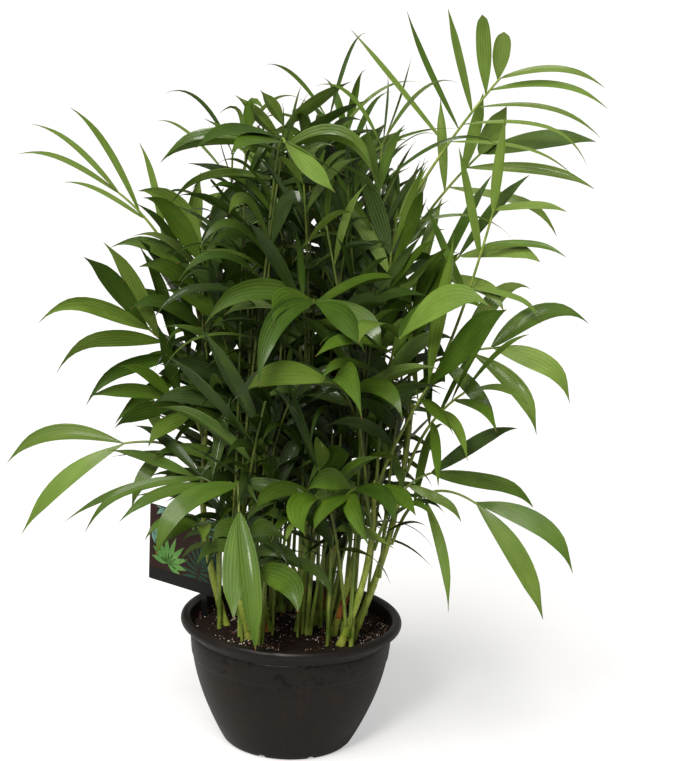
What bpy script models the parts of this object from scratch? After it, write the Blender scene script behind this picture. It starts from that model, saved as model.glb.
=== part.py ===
"""Bamboo palm in a low bowl-shaped pot.

Canes stand in the soil of a bowl with a rolled lip. Each frond leaves its cane on a bare stalk that
arches outwards and becomes a rib, with a row of leaflets on either side and a broader pair at its end.
Metres, Z up. The pot stands on z = 0 about the Z axis, and the side seen from in front faces -Y.
"""

import math
import random

import bmesh
import bpy
from mathutils import Matrix, Vector
from mathutils.bvhtree import BVHTree

UP = Vector((0.0, 0.0, 1.0))
CLEAR = 0.0004

# Pot
POT_FOOT_RADIUS = 0.069
POT_SHOULDER_RADIUS = 0.1085
POT_SHOULDER_HEIGHT = 0.126
POT_WALL = 0.0028
POT_FLOOR = 0.004
POT_BULGE = 0.9
FOOT_ROUNDING = 0.003
LIP_ROLL_RADIUS = 0.0055
LIP_CENTRE_RADIUS = 0.1145
LIP_CENTRE_HEIGHT = 0.1355
POT_SIDES = 32

# Soil
SOIL_LEVEL = 0.1265

# Plant label: a plain card on a flat peg
CARD_WIDTH = 0.104
CARD_HEIGHT = 0.087
CARD_THICKNESS = 0.0014
CARD_CENTRE = Vector((-0.120, 0.040, 0.195))
CARD_TURN = math.radians(-38)
PEG_WIDTH = 0.008
PEG_THICKNESS = 0.0024
PEG_SHIFT = 0.029
PEG_TOP = 0.190

# Canes: foot x, foot y, azimuth of the lean, lean from upright, height above the soil
CANES = (
    (-0.071, -0.006, 178, 7, 0.22),
    (-0.024, -0.018, 215, 6, 0.27),
    (-0.012, 0.040, 120, 6, 0.31),
    (0.008, -0.016, 280, 4, 0.28),
    (0.029, 0.008, 20, 4, 0.33),
    (0.038, 0.044, 60, 8, 0.30),
    (0.045, -0.026, 330, 7, 0.26),
    (0.053, -0.056, 325, 10, 0.19),
    (0.065, -0.040, 348, 11, 0.27),
    (-0.048, 0.030, 150, 8, 0.28),
    (0.012, 0.068, 85, 9, 0.26),
    (-0.044, -0.046, 235, 10, 0.18),
)
CANE_FOOT_RADIUS = 0.0048
CANE_TOP_RADIUS = 0.0028
CANE_FLARE = 1.35
CANE_FLARE_HEIGHT = 0.012
CANE_BOW = 0.012
CANE_SIDES = 7
CANE_RINGS = 4

# Fronds
RIB_STEPS = 24
RIB_STRIDE = 4
STALK_RADIUS = 0.0019
RIB_END_RADIUS = 0.0012
LEAF_STEPS = 15
LEAF_STRIDE = 5
LEAF_THICKNESS = 0.0115
LEAF_ROOT_WIDTH = 0.0010
LEAF_ROOT_THICKNESS = 0.0005
LEAF_MARGIN = 0.0006
LEAF_SWELL = 0.10
DROOP_POWER = 1.8
RIB_TRIES = 15
RIB_TURN = math.radians(7)
LEAF_TRIES = 9
LEAF_TURN = math.radians(7)
LEAF_SHRINK = 0.04


def mesh_object(name, points, faces, colour, roughness, smooth_under=0.0):
    """One closed mesh as an object with its own plain material, its faces turned outwards."""
    mesh = bpy.data.meshes.new(name)
    mesh.from_pydata([tuple(p) for p in points], [], faces)
    shape = bmesh.new()
    shape.from_mesh(mesh)
    bmesh.ops.recalc_face_normals(shape, faces=shape.faces)
    shape.to_mesh(mesh)
    shape.free()
    mesh.materials.append(material(name, colour, roughness))
    if smooth_under:
        mesh.shade_smooth()
        mesh.set_sharp_from_angle(angle=math.radians(smooth_under))
    made = bpy.data.objects.new(name, mesh)
    bpy.context.scene.collection.objects.link(made)
    return made


def material(name, colour, roughness):
    made = bpy.data.materials.new(name)
    made.use_nodes = True
    shader = made.node_tree.nodes["Principled BSDF"]
    shader.inputs["Base Color"].default_value = (*colour, 1.0)
    shader.inputs["Roughness"].default_value = roughness
    return made


def turned(outline, sides):
    """Points and faces of an outline of (radius, height) spun about Z. It starts and ends on the axis."""
    points = [(0.0, 0.0, outline[0][1])]
    for radius, height in outline[1:-1]:
        for side in range(sides):
            turn = math.tau * side / sides
            points.append((radius * math.cos(turn), radius * math.sin(turn), height))
    points.append((0.0, 0.0, outline[-1][1]))
    rings = len(outline) - 2
    faces = []
    for side in range(sides):
        after = (side + 1) % sides
        faces.append((0, 1 + after, 1 + side))
        for ring in range(rings - 1):
            low, high = 1 + ring * sides, 1 + (ring + 1) * sides
            faces.append((low + side, low + after, high + after, high + side))
        last = 1 + (rings - 1) * sides
        faces.append((last + side, last + after, len(points) - 1))
    return points, faces


def pot_radius(height):
    """Outer radius of the bowl's wall: steep under the shoulder and drawn in towards the foot."""
    share = math.sin(math.pi / 2 * min(1.0, height / POT_SHOULDER_HEIGHT))
    return POT_FOOT_RADIUS + (POT_SHOULDER_RADIUS - POT_FOOT_RADIUS) * share**POT_BULGE


def make_pot():
    """The bowl: a flat foot, a bulging wall, a lip rolled outwards, and the open inside."""
    heights = [0.010, 0.025, 0.045, 0.070, 0.095, 0.124]
    outline = [(0.0, 0.0), (POT_FOOT_RADIUS - FOOT_ROUNDING, 0.0), (POT_FOOT_RADIUS, 0.4 * FOOT_ROUNDING)]
    outline += [(pot_radius(z), z) for z in heights]
    for degrees in range(-105, 181, 26):
        turn = math.radians(degrees)
        outline.append(
            (
                LIP_CENTRE_RADIUS + LIP_ROLL_RADIUS * math.cos(turn),
                LIP_CENTRE_HEIGHT + LIP_ROLL_RADIUS * math.sin(turn),
            )
        )
    inside = [SOIL_LEVEL, *reversed(heights[1:-1]), POT_FLOOR]
    outline += [(pot_radius(z) - POT_WALL, z) for z in inside]
    outline.append((0.0, POT_FLOOR))
    return mesh_object("pot", *turned(outline, POT_SIDES), (0.020, 0.019, 0.019), 0.45, 40)


def make_soil():
    """The root ball that fills the bowl up to just under its lip."""
    gap = POT_WALL + CLEAR
    heights = [POT_FLOOR + CLEAR, 0.025, 0.045, 0.070, 0.095, SOIL_LEVEL]
    outline = [(0.0, heights[0]), (pot_radius(POT_FLOOR) - gap - CLEAR, heights[0])]
    outline += [(pot_radius(z) - gap, z) for z in heights[1:]]
    outline.append((0.0, SOIL_LEVEL))
    return mesh_object("soil", *turned(outline, POT_SIDES), (0.035, 0.020, 0.014), 0.95, 50)


def box(name, size, place, colour, roughness):
    """A flat plate of the given size, put in place by a matrix."""
    corners = [Vector((x, y, z)) for x in (-0.5, 0.5) for y in (-0.5, 0.5) for z in (-0.5, 0.5)]
    points = [place @ Vector((c.x * size[0], c.y * size[1], c.z * size[2])) for c in corners]
    faces = [(0, 1, 3, 2), (4, 6, 7, 5), (0, 4, 5, 1), (2, 3, 7, 6), (0, 2, 6, 4), (1, 5, 7, 3)]
    return mesh_object(name, points, faces, colour, roughness)


def make_label():
    """The plain card, and behind it the peg that it is pushed into the soil with."""
    turn = Matrix.Rotation(CARD_TURN, 4, "Z")
    card = box(
        "label_card",
        (CARD_WIDTH, CARD_THICKNESS, CARD_HEIGHT),
        Matrix.Translation(CARD_CENTRE) @ turn,
        (0.060, 0.022, 0.018),
        0.35,
    )
    behind = (CARD_THICKNESS + PEG_THICKNESS) / 2 + CLEAR
    foot = SOIL_LEVEL + CLEAR
    middle = CARD_CENTRE + turn @ Vector((PEG_SHIFT, behind, 0.0))
    middle.z = (foot + PEG_TOP) / 2
    peg = box(
        "label_peg",
        (PEG_WIDTH, PEG_THICKNESS, PEG_TOP - foot),
        Matrix.Translation(middle) @ turn,
        (0.012, 0.012, 0.012),
        0.4,
    )
    return [card, peg]


def mix(low, high, part):
    return low + (high - low) * part


def towards(azimuth, elevation):
    """Unit vector at an azimuth from +X and an elevation above level, both in degrees."""
    a, e = math.radians(azimuth), math.radians(elevation)
    return Vector((math.cos(a) * math.cos(e), math.sin(a) * math.cos(e), math.sin(e)))


def cane_curve(cane, share):
    """A point on the curve that a cane grows along. It leans, and bows out at mid height."""
    x, y, azimuth, lean, height = CANES[cane]
    along = towards(azimuth, 90 - lean)
    foot = Vector((x, y, SOIL_LEVEL + CLEAR))
    rise = share * height / along.z
    return foot + along * rise + towards(azimuth, 0) * CANE_BOW * math.sin(math.pi * share)


def cane_shares(cane):
    """The shares of its height at which a cane has a ring: its foot, its flare's top, and those above."""
    flare = CANE_FLARE_HEIGHT / CANES[cane][4]
    return [0.0] + [mix(flare, 1.0, k / CANE_RINGS) for k in range(CANE_RINGS + 1)]


def cane_point(cane, share):
    """A point on a cane's axis, which runs straight from ring to ring."""
    rings = cane_shares(cane)
    k = max(k for k in range(len(rings) - 1) if rings[k] <= share)
    part = (share - rings[k]) / (rings[k + 1] - rings[k])
    return cane_curve(cane, rings[k]).lerp(cane_curve(cane, rings[k + 1]), part)


def cane_radius(cane, share):
    height = CANES[cane][4] * share
    flare = 1 + (CANE_FLARE - 1) * max(0.0, 1 - height / CANE_FLARE_HEIGHT)
    return (CANE_FOOT_RADIUS + (CANE_TOP_RADIUS - CANE_FOOT_RADIUS) * share) * flare


def tube(line, radii, sides, first=None, level_foot=False):
    """Points and faces of a bar along a line. The first ring's first corner points along first."""
    points, faces = [], []
    out = first or Vector((1, 0, 0))
    for k, centre in enumerate(line):
        way = (line[min(k + 1, len(line) - 1)] - line[max(k - 1, 0)]).normalized()
        if level_foot and k == 0:
            way = UP
        out = (out - way * out.dot(way)).normalized()
        over = way.cross(out)
        for side in range(sides):
            turn = math.tau * side / sides
            points.append(centre + (out * math.cos(turn) + over * math.sin(turn)) * radii[k])
    for k in range(len(line) - 1):
        for side in range(sides):
            after = (side + 1) % sides
            low, high = k * sides, (k + 1) * sides
            faces.append((low + side, low + after, high + after))
            faces.append((low + side, high + after, high + side))
    faces.append(tuple(reversed(range(sides))))
    faces.append(tuple(range(len(points) - sides, len(points))))
    return points, faces


def make_cane(cane):
    """One cane, from its flat cut on the soil up to its tip."""
    shares = cane_shares(cane)
    line = [cane_curve(cane, share) for share in shares]
    radii = [cane_radius(cane, share) for share in shares]
    shape = tube(line, radii, CANE_SIDES, level_foot=True)
    return mesh_object(f"cane_{cane + 1:02d}", *shape, (0.16, 0.25, 0.05), 0.5, 60), shape


def frond(cane, share, tip, rise, **other):
    """What shapes a frond: where it leaves its cane, where its rib ends, and how it carries its leaflets.

    Its leaf lengths, opening angles and droop are given once for both sides of the rib or once for each.
    Face lays its leaflets level, and show turns them to face outwards.
    """
    made = {
        "cane": cane - 1,
        "share": share,
        "tip": Vector(tip),
        "rise": rise,
        "pull": 0.25,
        "roll": 0.0,
        "pairs": 5,
        "bare": 0.5,
        "leaf": (0.130, 0.130),
        "wide": (0.020, 0.028),
        "open": (68, 26),
        "lift": 10,
        "droop": 0.5,
        "face": 0.5,
        "show": 0.0,
        "loose": False,
    }
    made.update(other)
    for key in ("leaf", "open"):
        if not isinstance(made[key][0], tuple):
            made[key] = (made[key], made[key])
    if not isinstance(made["droop"], tuple):
        made["droop"] = (made["droop"], made["droop"])
    return made


# Leading fronds, which make the plant's outline. Cane, share of its height, rib end, rise of the arch.
LEADING = [
    # The tall feather at the upper right, and the paler one behind it
    frond(5, 0.97, (0.192, 0.000, 0.726), 0.14, pull=0.2, roll=88, bare=0.74,
          leaf=((0.148, 0.048), (0.135, 0.112)), wide=(0.010, 0.018), open=((74, 32), (54, 37)), lift=0,
          droop=(0.1, 0.95), face=0.6),
    frond(6, 0.97, (0.182, 0.060, 0.642), 0.13, roll=80, bare=0.78, pairs=3,
          leaf=((0.095, 0.058), (0.130, 0.125)), wide=(0.012, 0.024), open=((42, 12), (58, 30)), lift=0,
          droop=(0.1, 0.45), face=0.3),
    # Below them on the right, from the top down
    frond(9, 0.97, (0.188, -0.060, 0.600), 0.05, pull=0.45, roll=80, bare=0.68, pairs=3,
          leaf=((0.100, 0.097), (0.085, 0.075)), wide=(0.012, 0.015), open=((45, 8), (78, 62)), lift=0,
          droop=(0.1, 0.6)),
    frond(5, 0.80, (0.160, -0.020, 0.545), 0.06, roll=40, pairs=4, leaf=(0.115, 0.112),
          wide=(0.016, 0.024), open=((56, 12), (60, 32)), droop=0.4),
    frond(8, 0.97, (0.128, -0.120, 0.430), 0.05, roll=60, bare=0.85, pairs=2, leaf=(0.110, 0.150),
          wide=(0.014, 0.040), open=((62, 27), (62, 14)), lift=5, droop=0.3, face=0.1),
    frond(7, 0.80, (0.095, -0.140, 0.480), 0.08, roll=20, bare=0.6, pairs=3, leaf=(0.120, 0.110),
          wide=(0.022, 0.030), open=(65, 34), droop=(1.2, 1.0), face=0.2, show=0.5),
    frond(7, 0.95, (0.197, -0.050, 0.455), 0.07, roll=60, bare=0.6, pairs=3,
          leaf=((0.090, 0.113), (0.100, 0.103)), wide=(0.018, 0.029), open=((60, 33), (62, 21)),
          droop=(1.25, 1.2), face=0.2),
    frond(9, 0.72, (0.165, -0.100, 0.418), 0.06, roll=50, pairs=4, leaf=((0.110, 0.095), (0.112, 0.115)),
          wide=(0.012, 0.014), open=(70, 22), droop=0.7),
    frond(9, 0.42, (0.187, -0.080, 0.296), 0.09, roll=70, pairs=2, bare=0.35,
          leaf=((0.100, 0.130), (0.120, 0.132)), wide=(0.012, 0.022), open=((42, 18), (92, 19)),
          droop=(1.3, 1.9), face=0.2),
    frond(8, 0.60, (0.140, -0.060, 0.322), 0.072, roll=75, bare=0.6, pairs=2,
          leaf=((0.070, 0.100), (0.080, 0.114)), wide=(0.012, 0.018), open=((60, 14), (60, 29)), lift=0,
          droop=0.2, face=0.2),
    # On the left, from the bottom up
    frond(1, 0.80, (-0.186, 0.000, 0.325), 0.035, roll=-60, bare=0.5, pairs=2, leaf=(0.080, 0.142),
          wide=(0.018, 0.021), open=(60, 22), droop=1.4, face=0.2),
    frond(12, 0.75, (-0.105, -0.060, 0.308), 0.05, roll=-50, bare=0.6, pairs=3,
          leaf=((0.110, 0.150), (0.090, 0.105)), wide=(0.014, 0.018), open=(55, 16), droop=(1.0, 0.5)),
    frond(10, 0.85, (-0.160, -0.020, 0.455), 0.045, pull=0.4, roll=-85, bare=0.45, pairs=4,
          leaf=((0.110, 0.148), (0.105, 0.118)), wide=(0.019, 0.023), open=((55, 13), (48, 12)), lift=0,
          droop=0.5, face=0.1),
    frond(1, 0.97, (-0.132, -0.030, 0.384), 0.03, roll=-80, bare=0.45, pairs=3,
          leaf=((0.070, 0.105), (0.085, 0.080)), wide=(0.020, 0.018), open=(60, 12), lift=0, droop=0.5,
          face=0.2),
    frond(10, 0.70, (-0.125, 0.040, 0.510), 0.08, roll=-60, pairs=4, leaf=(0.110, 0.100),
          wide=(0.018, 0.022), open=(60, 20), droop=0.5),
    frond(10, 0.98, (-0.200, 0.050, 0.586), 0.14, pull=0.42, roll=-75, bare=0.52, pairs=3,
          leaf=((0.050, 0.117), (0.110, 0.118)), wide=(0.010, 0.011), open=(24, 7), lift=0, droop=0.7,
          face=0.4),
    # The top, which faces the front
    frond(11, 0.97, (0.040, 0.050, 0.600), 0.14, roll=15, bare=0.6, pairs=5,
          leaf=((0.120, 0.085), (0.120, 0.075)), wide=(0.016, 0.036), open=((62, 24), (62, 12)),
          droop=0.5, face=0.2),
    frond(3, 0.97, (-0.027, -0.030, 0.672), 0.12, roll=5, bare=0.70, pairs=4,
          leaf=((0.110, 0.080), (0.100, 0.045)), wide=(0.012, 0.018), open=((66, 48), (75, 28)),
          droop=(0.3, 0.2), face=0.1),
    frond(2, 0.97, (-0.024, -0.100, 0.662), 0.31, pull=0.5, roll=-10, pairs=4,
          leaf=((0.120, 0.110), (0.125, 0.090)), wide=(0.020, 0.024), open=((66, 8), (88, 72)),
          droop=(2.4, 1.3), face=0.1),
    frond(4, 0.97, (0.010, -0.120, 0.508), 0.12, pairs=4, leaf=(0.130, 0.145), wide=(0.026, 0.024),
          open=(70, 30), droop=(1.2, 1.6), face=0.4, show=0.55),
    frond(7, 0.70, (0.030, -0.150, 0.436), 0.10, pairs=3, leaf=(0.130, 0.145), wide=(0.022, 0.028),
          open=(70, 30), droop=(1.3, 1.9), face=0.4, show=0.55),
    # Low at the front, hanging over the soil
    frond(12, 0.90, (-0.057, -0.120, 0.290), 0.05, pairs=2, leaf=((0.130, 0.135), (0.122, 0.108)),
          wide=(0.024, 0.026), open=(65, 9), droop=1.9, face=0.3, show=0.4),
    frond(4, 0.45, (0.022, -0.120, 0.308), 0.05, pairs=3, leaf=((0.110, 0.095), (0.110, 0.110)),
          wide=(0.024, 0.034), open=((70, 55), (70, 28)), droop=1.9, face=0.3, show=0.5),
    frond(8, 0.75, (0.050, -0.140, 0.318), 0.06, pairs=3, leaf=(0.100, 0.095), wide=(0.022, 0.026),
          open=((70, 35), (70, 8)), droop=1.7, face=0.3, show=0.5),
]

# Fill: fronds whose rib ends are spread by the golden angle over an egg inside the crown
FILL_FRONDS = 20
FILL_LOW, FILL_HIGH = 0.32, 0.585
FILL_MIDDLE, FILL_HALF_HEIGHT = 0.40, 0.28
FILL_RADIUS = 0.125
FILL_INNER = 0.45
FILL_START = 140


def fill_fronds():
    """The fronds that crowd the middle, the back and the sides, each one on the cane nearest to its end."""
    draw = random.Random(11)
    used = [0.0] * len(CANES)
    made = []
    for k in range(FILL_FRONDS):
        height = mix(FILL_LOW, FILL_HIGH, (k + 0.5) / FILL_FRONDS)
        azimuth = FILL_START + 137.5 * k + draw.uniform(-10, 10)
        radius = FILL_RADIUS * math.sqrt(1 - ((height - FILL_MIDDLE) / FILL_HALF_HEIGHT) ** 2)
        if k % 4 == 3:
            radius *= FILL_INNER
        tip = towards(azimuth, 0) * radius + UP * height
        ways = [((cane_point(c, 0.8) - tip).to_2d().length + used[c], c) for c in range(len(CANES))]
        cane = min(ways)[1]
        used[cane] += 0.03
        share = (height - SOIL_LEVEL - draw.uniform(0.13, 0.20)) / CANES[cane][4]
        share = min(max(share, 0.12), 0.9)
        rise = 0.62 * (height - cane_point(cane, share).z)
        roll = draw.uniform(-30, 30)
        leaf = (draw.uniform(0.12, 0.14), draw.uniform(0.11, 0.13))
        droop = draw.uniform(0.5, 1.1)
        wide = (draw.uniform(0.022, 0.028), draw.uniform(0.028, 0.034))
        made.append(
            frond(cane + 1, share, tip, rise, pull=0.3, roll=roll, pairs=6, bare=0.42, leaf=leaf, wide=wide,
                  droop=droop, loose=True)
        )
    return made


def rib_line(shape, attempt=0):
    """The stalk and rib as one arch, from just off the cane's side up over its rise and out to its end."""
    cane, share = shape["cane"], shape["share"]
    on_cane = cane_point(cane, share)
    tip = shape["tip"].copy()
    side = (attempt + 1) // 2 * (1 if attempt % 2 else -1)
    tip = on_cane + Matrix.Rotation(side * RIB_TURN, 3, "Z") @ (tip - on_cane)
    out = Vector((tip.x - on_cane.x, tip.y - on_cane.y, 0.0))
    leaving = (UP * shape["rise"] + out * shape["pull"]).normalized()
    spacing = cane_radius(cane, share) + STALK_RADIUS * leaving.z + CLEAR
    start = on_cane + out.normalized() * spacing
    top = start + UP * shape["rise"] + out * shape["pull"]
    line = []
    for k in range(RIB_STEPS + 1):
        t = k / RIB_STEPS
        line.append(start * (1 - t) ** 2 + top * 2 * t * (1 - t) + tip * t * t)
    return line


def rib_radius(k):
    return STALK_RADIUS + (RIB_END_RADIUS - STALK_RADIUS) * k / RIB_STEPS


def rib_solid(line, grow=0.0):
    picked = list(range(0, RIB_STEPS + 1, RIB_STRIDE))
    inward = line[0] - line[-1]
    inward.z = 0.0
    return tube([line[k] for k in picked], [rib_radius(k) + grow for k in picked], 3, inward.normalized())


def leaflets(shape, line):
    """Each leaflet from the lowest pair up: its root, heading, across, length, width and droop."""
    found = []
    pairs = shape["pairs"]
    out = Vector((line[-1].x - line[0].x, line[-1].y - line[0].y, 0.0)).normalized()
    for pair in range(pairs):
        part = pair / (pairs - 1)
        for hand in (0, 1):
            end = pair == pairs - 1
            stagger = 0.96 + 0.03 * hand - part if end else 0.35 * hand / pairs
            share = shape["bare"] + (1 - shape["bare"]) * (part + stagger)
            place = share * RIB_STEPS / RIB_STRIDE
            k = min(int(place), RIB_STEPS // RIB_STRIDE - 1)
            low, high = line[k * RIB_STRIDE], line[(k + 1) * RIB_STRIDE]
            along = (high - low).normalized()
            level = along.cross(UP).normalized()
            beside = Matrix.Rotation(math.radians(shape["roll"]), 3, along) @ level
            above = beside.cross(along)
            opened = math.radians(mix(*shape["open"][hand], part))
            lift = math.radians(shape["lift"])
            sideways = beside * (2 * hand - 1) * math.cos(lift) + above * math.sin(lift)
            heading = (along * math.cos(opened) + sideways * math.sin(opened)).normalized()
            flat = above.cross(heading).normalized() * (1 - shape["face"]) + UP.cross(heading) * shape["face"]
            across = flat * (1 - shape["show"]) + out.cross(heading) * shape["show"]
            length = mix(*shape["leaf"][hand], part) * (1 + LEAF_SWELL * math.sin(math.pi * part))
            root = low.lerp(high, place - k)
            wide = mix(*shape["wide"], part**2)
            found.append((root, heading, across.normalized(), length, wide, shape["droop"][hand]))
    return found


def leaf_line(leaf, attempt=0):
    """Centre points and across directions of a leaflet, which bends down further the nearer its tip."""
    root, heading, across, length, _, droop = leaf
    side = (attempt + 1) // 2 * (1 if attempt % 2 else -1)
    heading = Matrix.Rotation(side * LEAF_TURN, 3, across) @ heading
    length = length * (1 - LEAF_SHRINK * attempt)
    points, acrosses = [root.copy()], []
    for step in range(LEAF_STEPS):
        share = (step + 0.5) / LEAF_STEPS
        way = (heading - UP * droop * share**DROOP_POWER).normalized()
        across = (across - way * across.dot(way)).normalized()
        acrosses.append(across)
        points.append(points[-1] + way * length / LEAF_STEPS)
    acrosses.append(across)
    return points, acrosses, length


def leaf_width(share):
    """A leaflet's width, as a share of its greatest: narrow at the root, widest near its middle, pointed."""
    return math.sin(math.pi * share**0.85) ** 0.8 if 0 < share < 1 else 0.0


def leaf_solid(line, wide, grow=0.0):
    """A leaflet as a thin blade with a raised midrib, closed at the root and drawn to a point at the tip."""
    centres, acrosses, length = line
    points = []
    for k in range(0, LEAF_STEPS, LEAF_STRIDE):
        thick = LEAF_THICKNESS * length if k else LEAF_ROOT_THICKNESS
        way = (centres[k + 1] - centres[max(k - 1, 0)]).normalized()
        across = acrosses[k]
        above = across.cross(way)
        if above.z < 0:
            above = -above
        half = (leaf_width(k / LEAF_STEPS) * wide if k else LEAF_ROOT_WIDTH) / 2 + grow
        points += [
            centres[k] + across * half - above * (grow + thick * 0.3),
            centres[k] - across * half - above * (grow + thick * 0.3),
            centres[k] + above * (grow + thick * 0.7),
        ]
    points.append(centres[-1])
    rings = LEAF_STEPS // LEAF_STRIDE
    faces = [(0, 1, 2)]
    for ring in range(rings - 1):
        low, high = ring * 3, ring * 3 + 3
        for side in range(3):
            after = (side + 1) % 3
            faces.append((low + side, high + side, low + after))
            faces.append((low + after, high + side, high + after))
    last = (rings - 1) * 3
    faces += [(last + side, len(points) - 1, last + (side + 1) % 3) for side in range(3)]
    return points, faces


class Space:
    """What is already taken: a search tree and a bounding box for each solid placed so far."""

    def __init__(self):
        self.taken = []

    @staticmethod
    def bounds(points):
        return [(min(p[i] for p in points), max(p[i] for p in points)) for i in range(3)]

    def add(self, solid, owner):
        points, faces = solid
        self.taken.append((BVHTree.FromPolygons(points, faces), self.bounds(points), owner))

    def free(self, solid, owner):
        points, faces = solid
        edges = self.bounds(points)
        tree = None
        for other, limits, holder in self.taken:
            if holder == owner or any(a[0] > b[1] or b[0] > a[1] for a, b in zip(edges, limits)):
                continue
            tree = tree or BVHTree.FromPolygons(points, faces)
            if tree.overlap(other):
                return False
        return True


def join_frond(name, rib, blades):
    """The rib and its blades fused into one closed solid."""
    base = mesh_object(name, *rib, (0.06, 0.20, 0.03), 0.4)
    if not blades:
        return base
    group = bpy.data.collections.new(name + "_blades")
    for k, blade in enumerate(blades):
        piece = mesh_object(f"{name}_blade_{k}", *blade, (0.06, 0.20, 0.03), 0.4)
        bpy.context.scene.collection.objects.unlink(piece)
        group.objects.link(piece)
    bpy.context.scene.collection.children.link(group)
    fuse = base.modifiers.new("fuse", "BOOLEAN")
    fuse.operation = "UNION"
    fuse.operand_type = "COLLECTION"
    fuse.collection = group
    fuse.solver = "EXACT"
    graph = bpy.context.evaluated_depsgraph_get()
    fused = bpy.data.meshes.new_from_object(base.evaluated_get(graph))
    base.modifiers.clear()
    base.data = fused
    for piece in list(group.objects):
        bpy.data.objects.remove(piece)
    bpy.data.collections.remove(group)
    return base


def main():
    for old in list(bpy.data.objects):
        bpy.data.objects.remove(old)
    space = Space()
    for made in (make_pot(), make_soil(), *make_label()):
        shape = made.data
        points = [v.co.copy() for v in shape.vertices]
        faces = [tuple(f.vertices) for f in shape.polygons]
        space.add((points, faces), made.name)
    for cane in range(len(CANES)):
        space.add(make_cane(cane)[1], f"cane {cane}")
    fronds = []
    for number, shape in enumerate(LEADING + fill_fronds()):
        for attempt in range(RIB_TRIES if shape["loose"] else 1):
            line = rib_line(shape, attempt)
            if space.free(rib_solid(line, CLEAR * 0.6), number):
                break
        else:
            if shape["loose"]:
                continue
        space.add(rib_solid(line), number)
        fronds.append((number, shape, line))
    for number, shape, line in fronds:
        blades = []
        for leaf in leaflets(shape, line):
            for attempt in range(LEAF_TRIES):
                blade = leaf_line(leaf, attempt)
                if all(space.free(leaf_solid(blade, leaf[4], grow), number) for grow in (0.0, LEAF_MARGIN)):
                    solid = leaf_solid(blade, leaf[4])
                    space.add(solid, number)
                    blades.append(solid)
                    break
        join_frond(f"frond_{number + 1:02d}", rib_solid(line), blades)


main()
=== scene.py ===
import math
import random

import bmesh
import bpy
import numpy as np
from mathutils import Matrix, Vector, noise
from mathutils.bvhtree import BVHTree
from mathutils.kdtree import KDTree


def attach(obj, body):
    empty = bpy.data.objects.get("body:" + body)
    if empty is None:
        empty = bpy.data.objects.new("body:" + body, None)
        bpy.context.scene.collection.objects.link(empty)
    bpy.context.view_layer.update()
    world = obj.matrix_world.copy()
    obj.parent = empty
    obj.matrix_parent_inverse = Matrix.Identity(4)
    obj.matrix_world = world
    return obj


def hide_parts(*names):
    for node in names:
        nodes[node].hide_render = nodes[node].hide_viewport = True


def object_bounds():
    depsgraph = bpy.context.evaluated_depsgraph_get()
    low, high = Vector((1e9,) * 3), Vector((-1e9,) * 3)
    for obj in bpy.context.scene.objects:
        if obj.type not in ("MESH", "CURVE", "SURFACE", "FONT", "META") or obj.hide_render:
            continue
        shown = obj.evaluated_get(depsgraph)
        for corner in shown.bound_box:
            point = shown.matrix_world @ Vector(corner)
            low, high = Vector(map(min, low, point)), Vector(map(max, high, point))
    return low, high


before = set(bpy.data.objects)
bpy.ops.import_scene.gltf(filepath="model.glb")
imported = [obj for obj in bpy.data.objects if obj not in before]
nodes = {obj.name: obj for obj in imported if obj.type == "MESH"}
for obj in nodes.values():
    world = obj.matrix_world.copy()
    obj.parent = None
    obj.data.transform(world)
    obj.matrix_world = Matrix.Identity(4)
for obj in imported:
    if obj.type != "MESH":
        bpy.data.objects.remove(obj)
packed_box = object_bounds()


# The pot ---------------------------------------------------------------------------------------------
# A low bowl moulded in one piece of near-black plastic. Its wall bulges up from a small foot, a flat band
# runs round it under the lip, and the lip is rolled outwards. Gaps in the foot's edge let water run off.

POT_FOOT_RADIUS = 0.069
POT_SHOULDER_RADIUS = 0.1085
POT_SHOULDER_HEIGHT = 0.126
POT_BULGE = 0.9
POT_WALL = 0.0028
POT_FLOOR = 0.004
BAND_LOW, BAND_HIGH, BAND_PROUD = 0.098, 0.122, 0.0008
LIP_ROLL_RADIUS = 0.0055
LIP_CENTRE_RADIUS = 0.1145
LIP_CENTRE_HEIGHT = 0.1355
FOOT_GAPS, FOOT_GAP_WIDTH, FOOT_GAP_HEIGHT = 8, 0.0065, 0.0030
POT_SIDES = 192
SOIL_LEVEL = 0.1265
# The ring under the foot: how far from the foot's radius, and height
FOOT_SECTION = ((-0.0110, 0.0018), (-0.0095, 0.0002), (-0.0090, 0.0), (-0.0020, 0.0), (-0.0005, 0.0007))
FOOT_RING_WIDTH = 0.010
WALL_START, WALL_STEP, WALL_END = 0.0035, 0.0045, BAND_LOW - 0.002
# Degrees round the rolled lip, from under it, out and over to its inner side
LIP_TURNS = range(-100, 181, 8)
INSIDE_HEIGHTS = (SOIL_LEVEL, 0.118, 0.095, 0.070, 0.045, 0.025, POT_FLOOR)
# Heights over which the damp blots come in, and over which they go out again
BLOTS_FROM, BLOTS_TO = (0.080, 0.106), (0.134, 0.122)
# What a finish group gives to its material
FINISH = [("Colour", "Color"), ("Roughness", "Float"), ("Height", "Float")]


def closed_piece(name, points, faces, material, smooth_under=180.0):
    """A closed mesh as an object at the origin, with its faces turned outwards and its keen edges sharp."""
    mesh = bpy.data.meshes.new(name)
    mesh.from_pydata([tuple(p) for p in points], [], faces)
    shape = bmesh.new()
    shape.from_mesh(mesh)
    bmesh.ops.recalc_face_normals(shape, faces=shape.faces)
    shape.to_mesh(mesh)
    shape.free()
    mesh.materials.append(material)
    mesh.shade_smooth()
    if smooth_under < 180:
        mesh.set_sharp_from_angle(angle=math.radians(smooth_under))
    piece = bpy.data.objects.new(name, mesh)
    bpy.context.scene.collection.objects.link(piece)
    return piece


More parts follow.
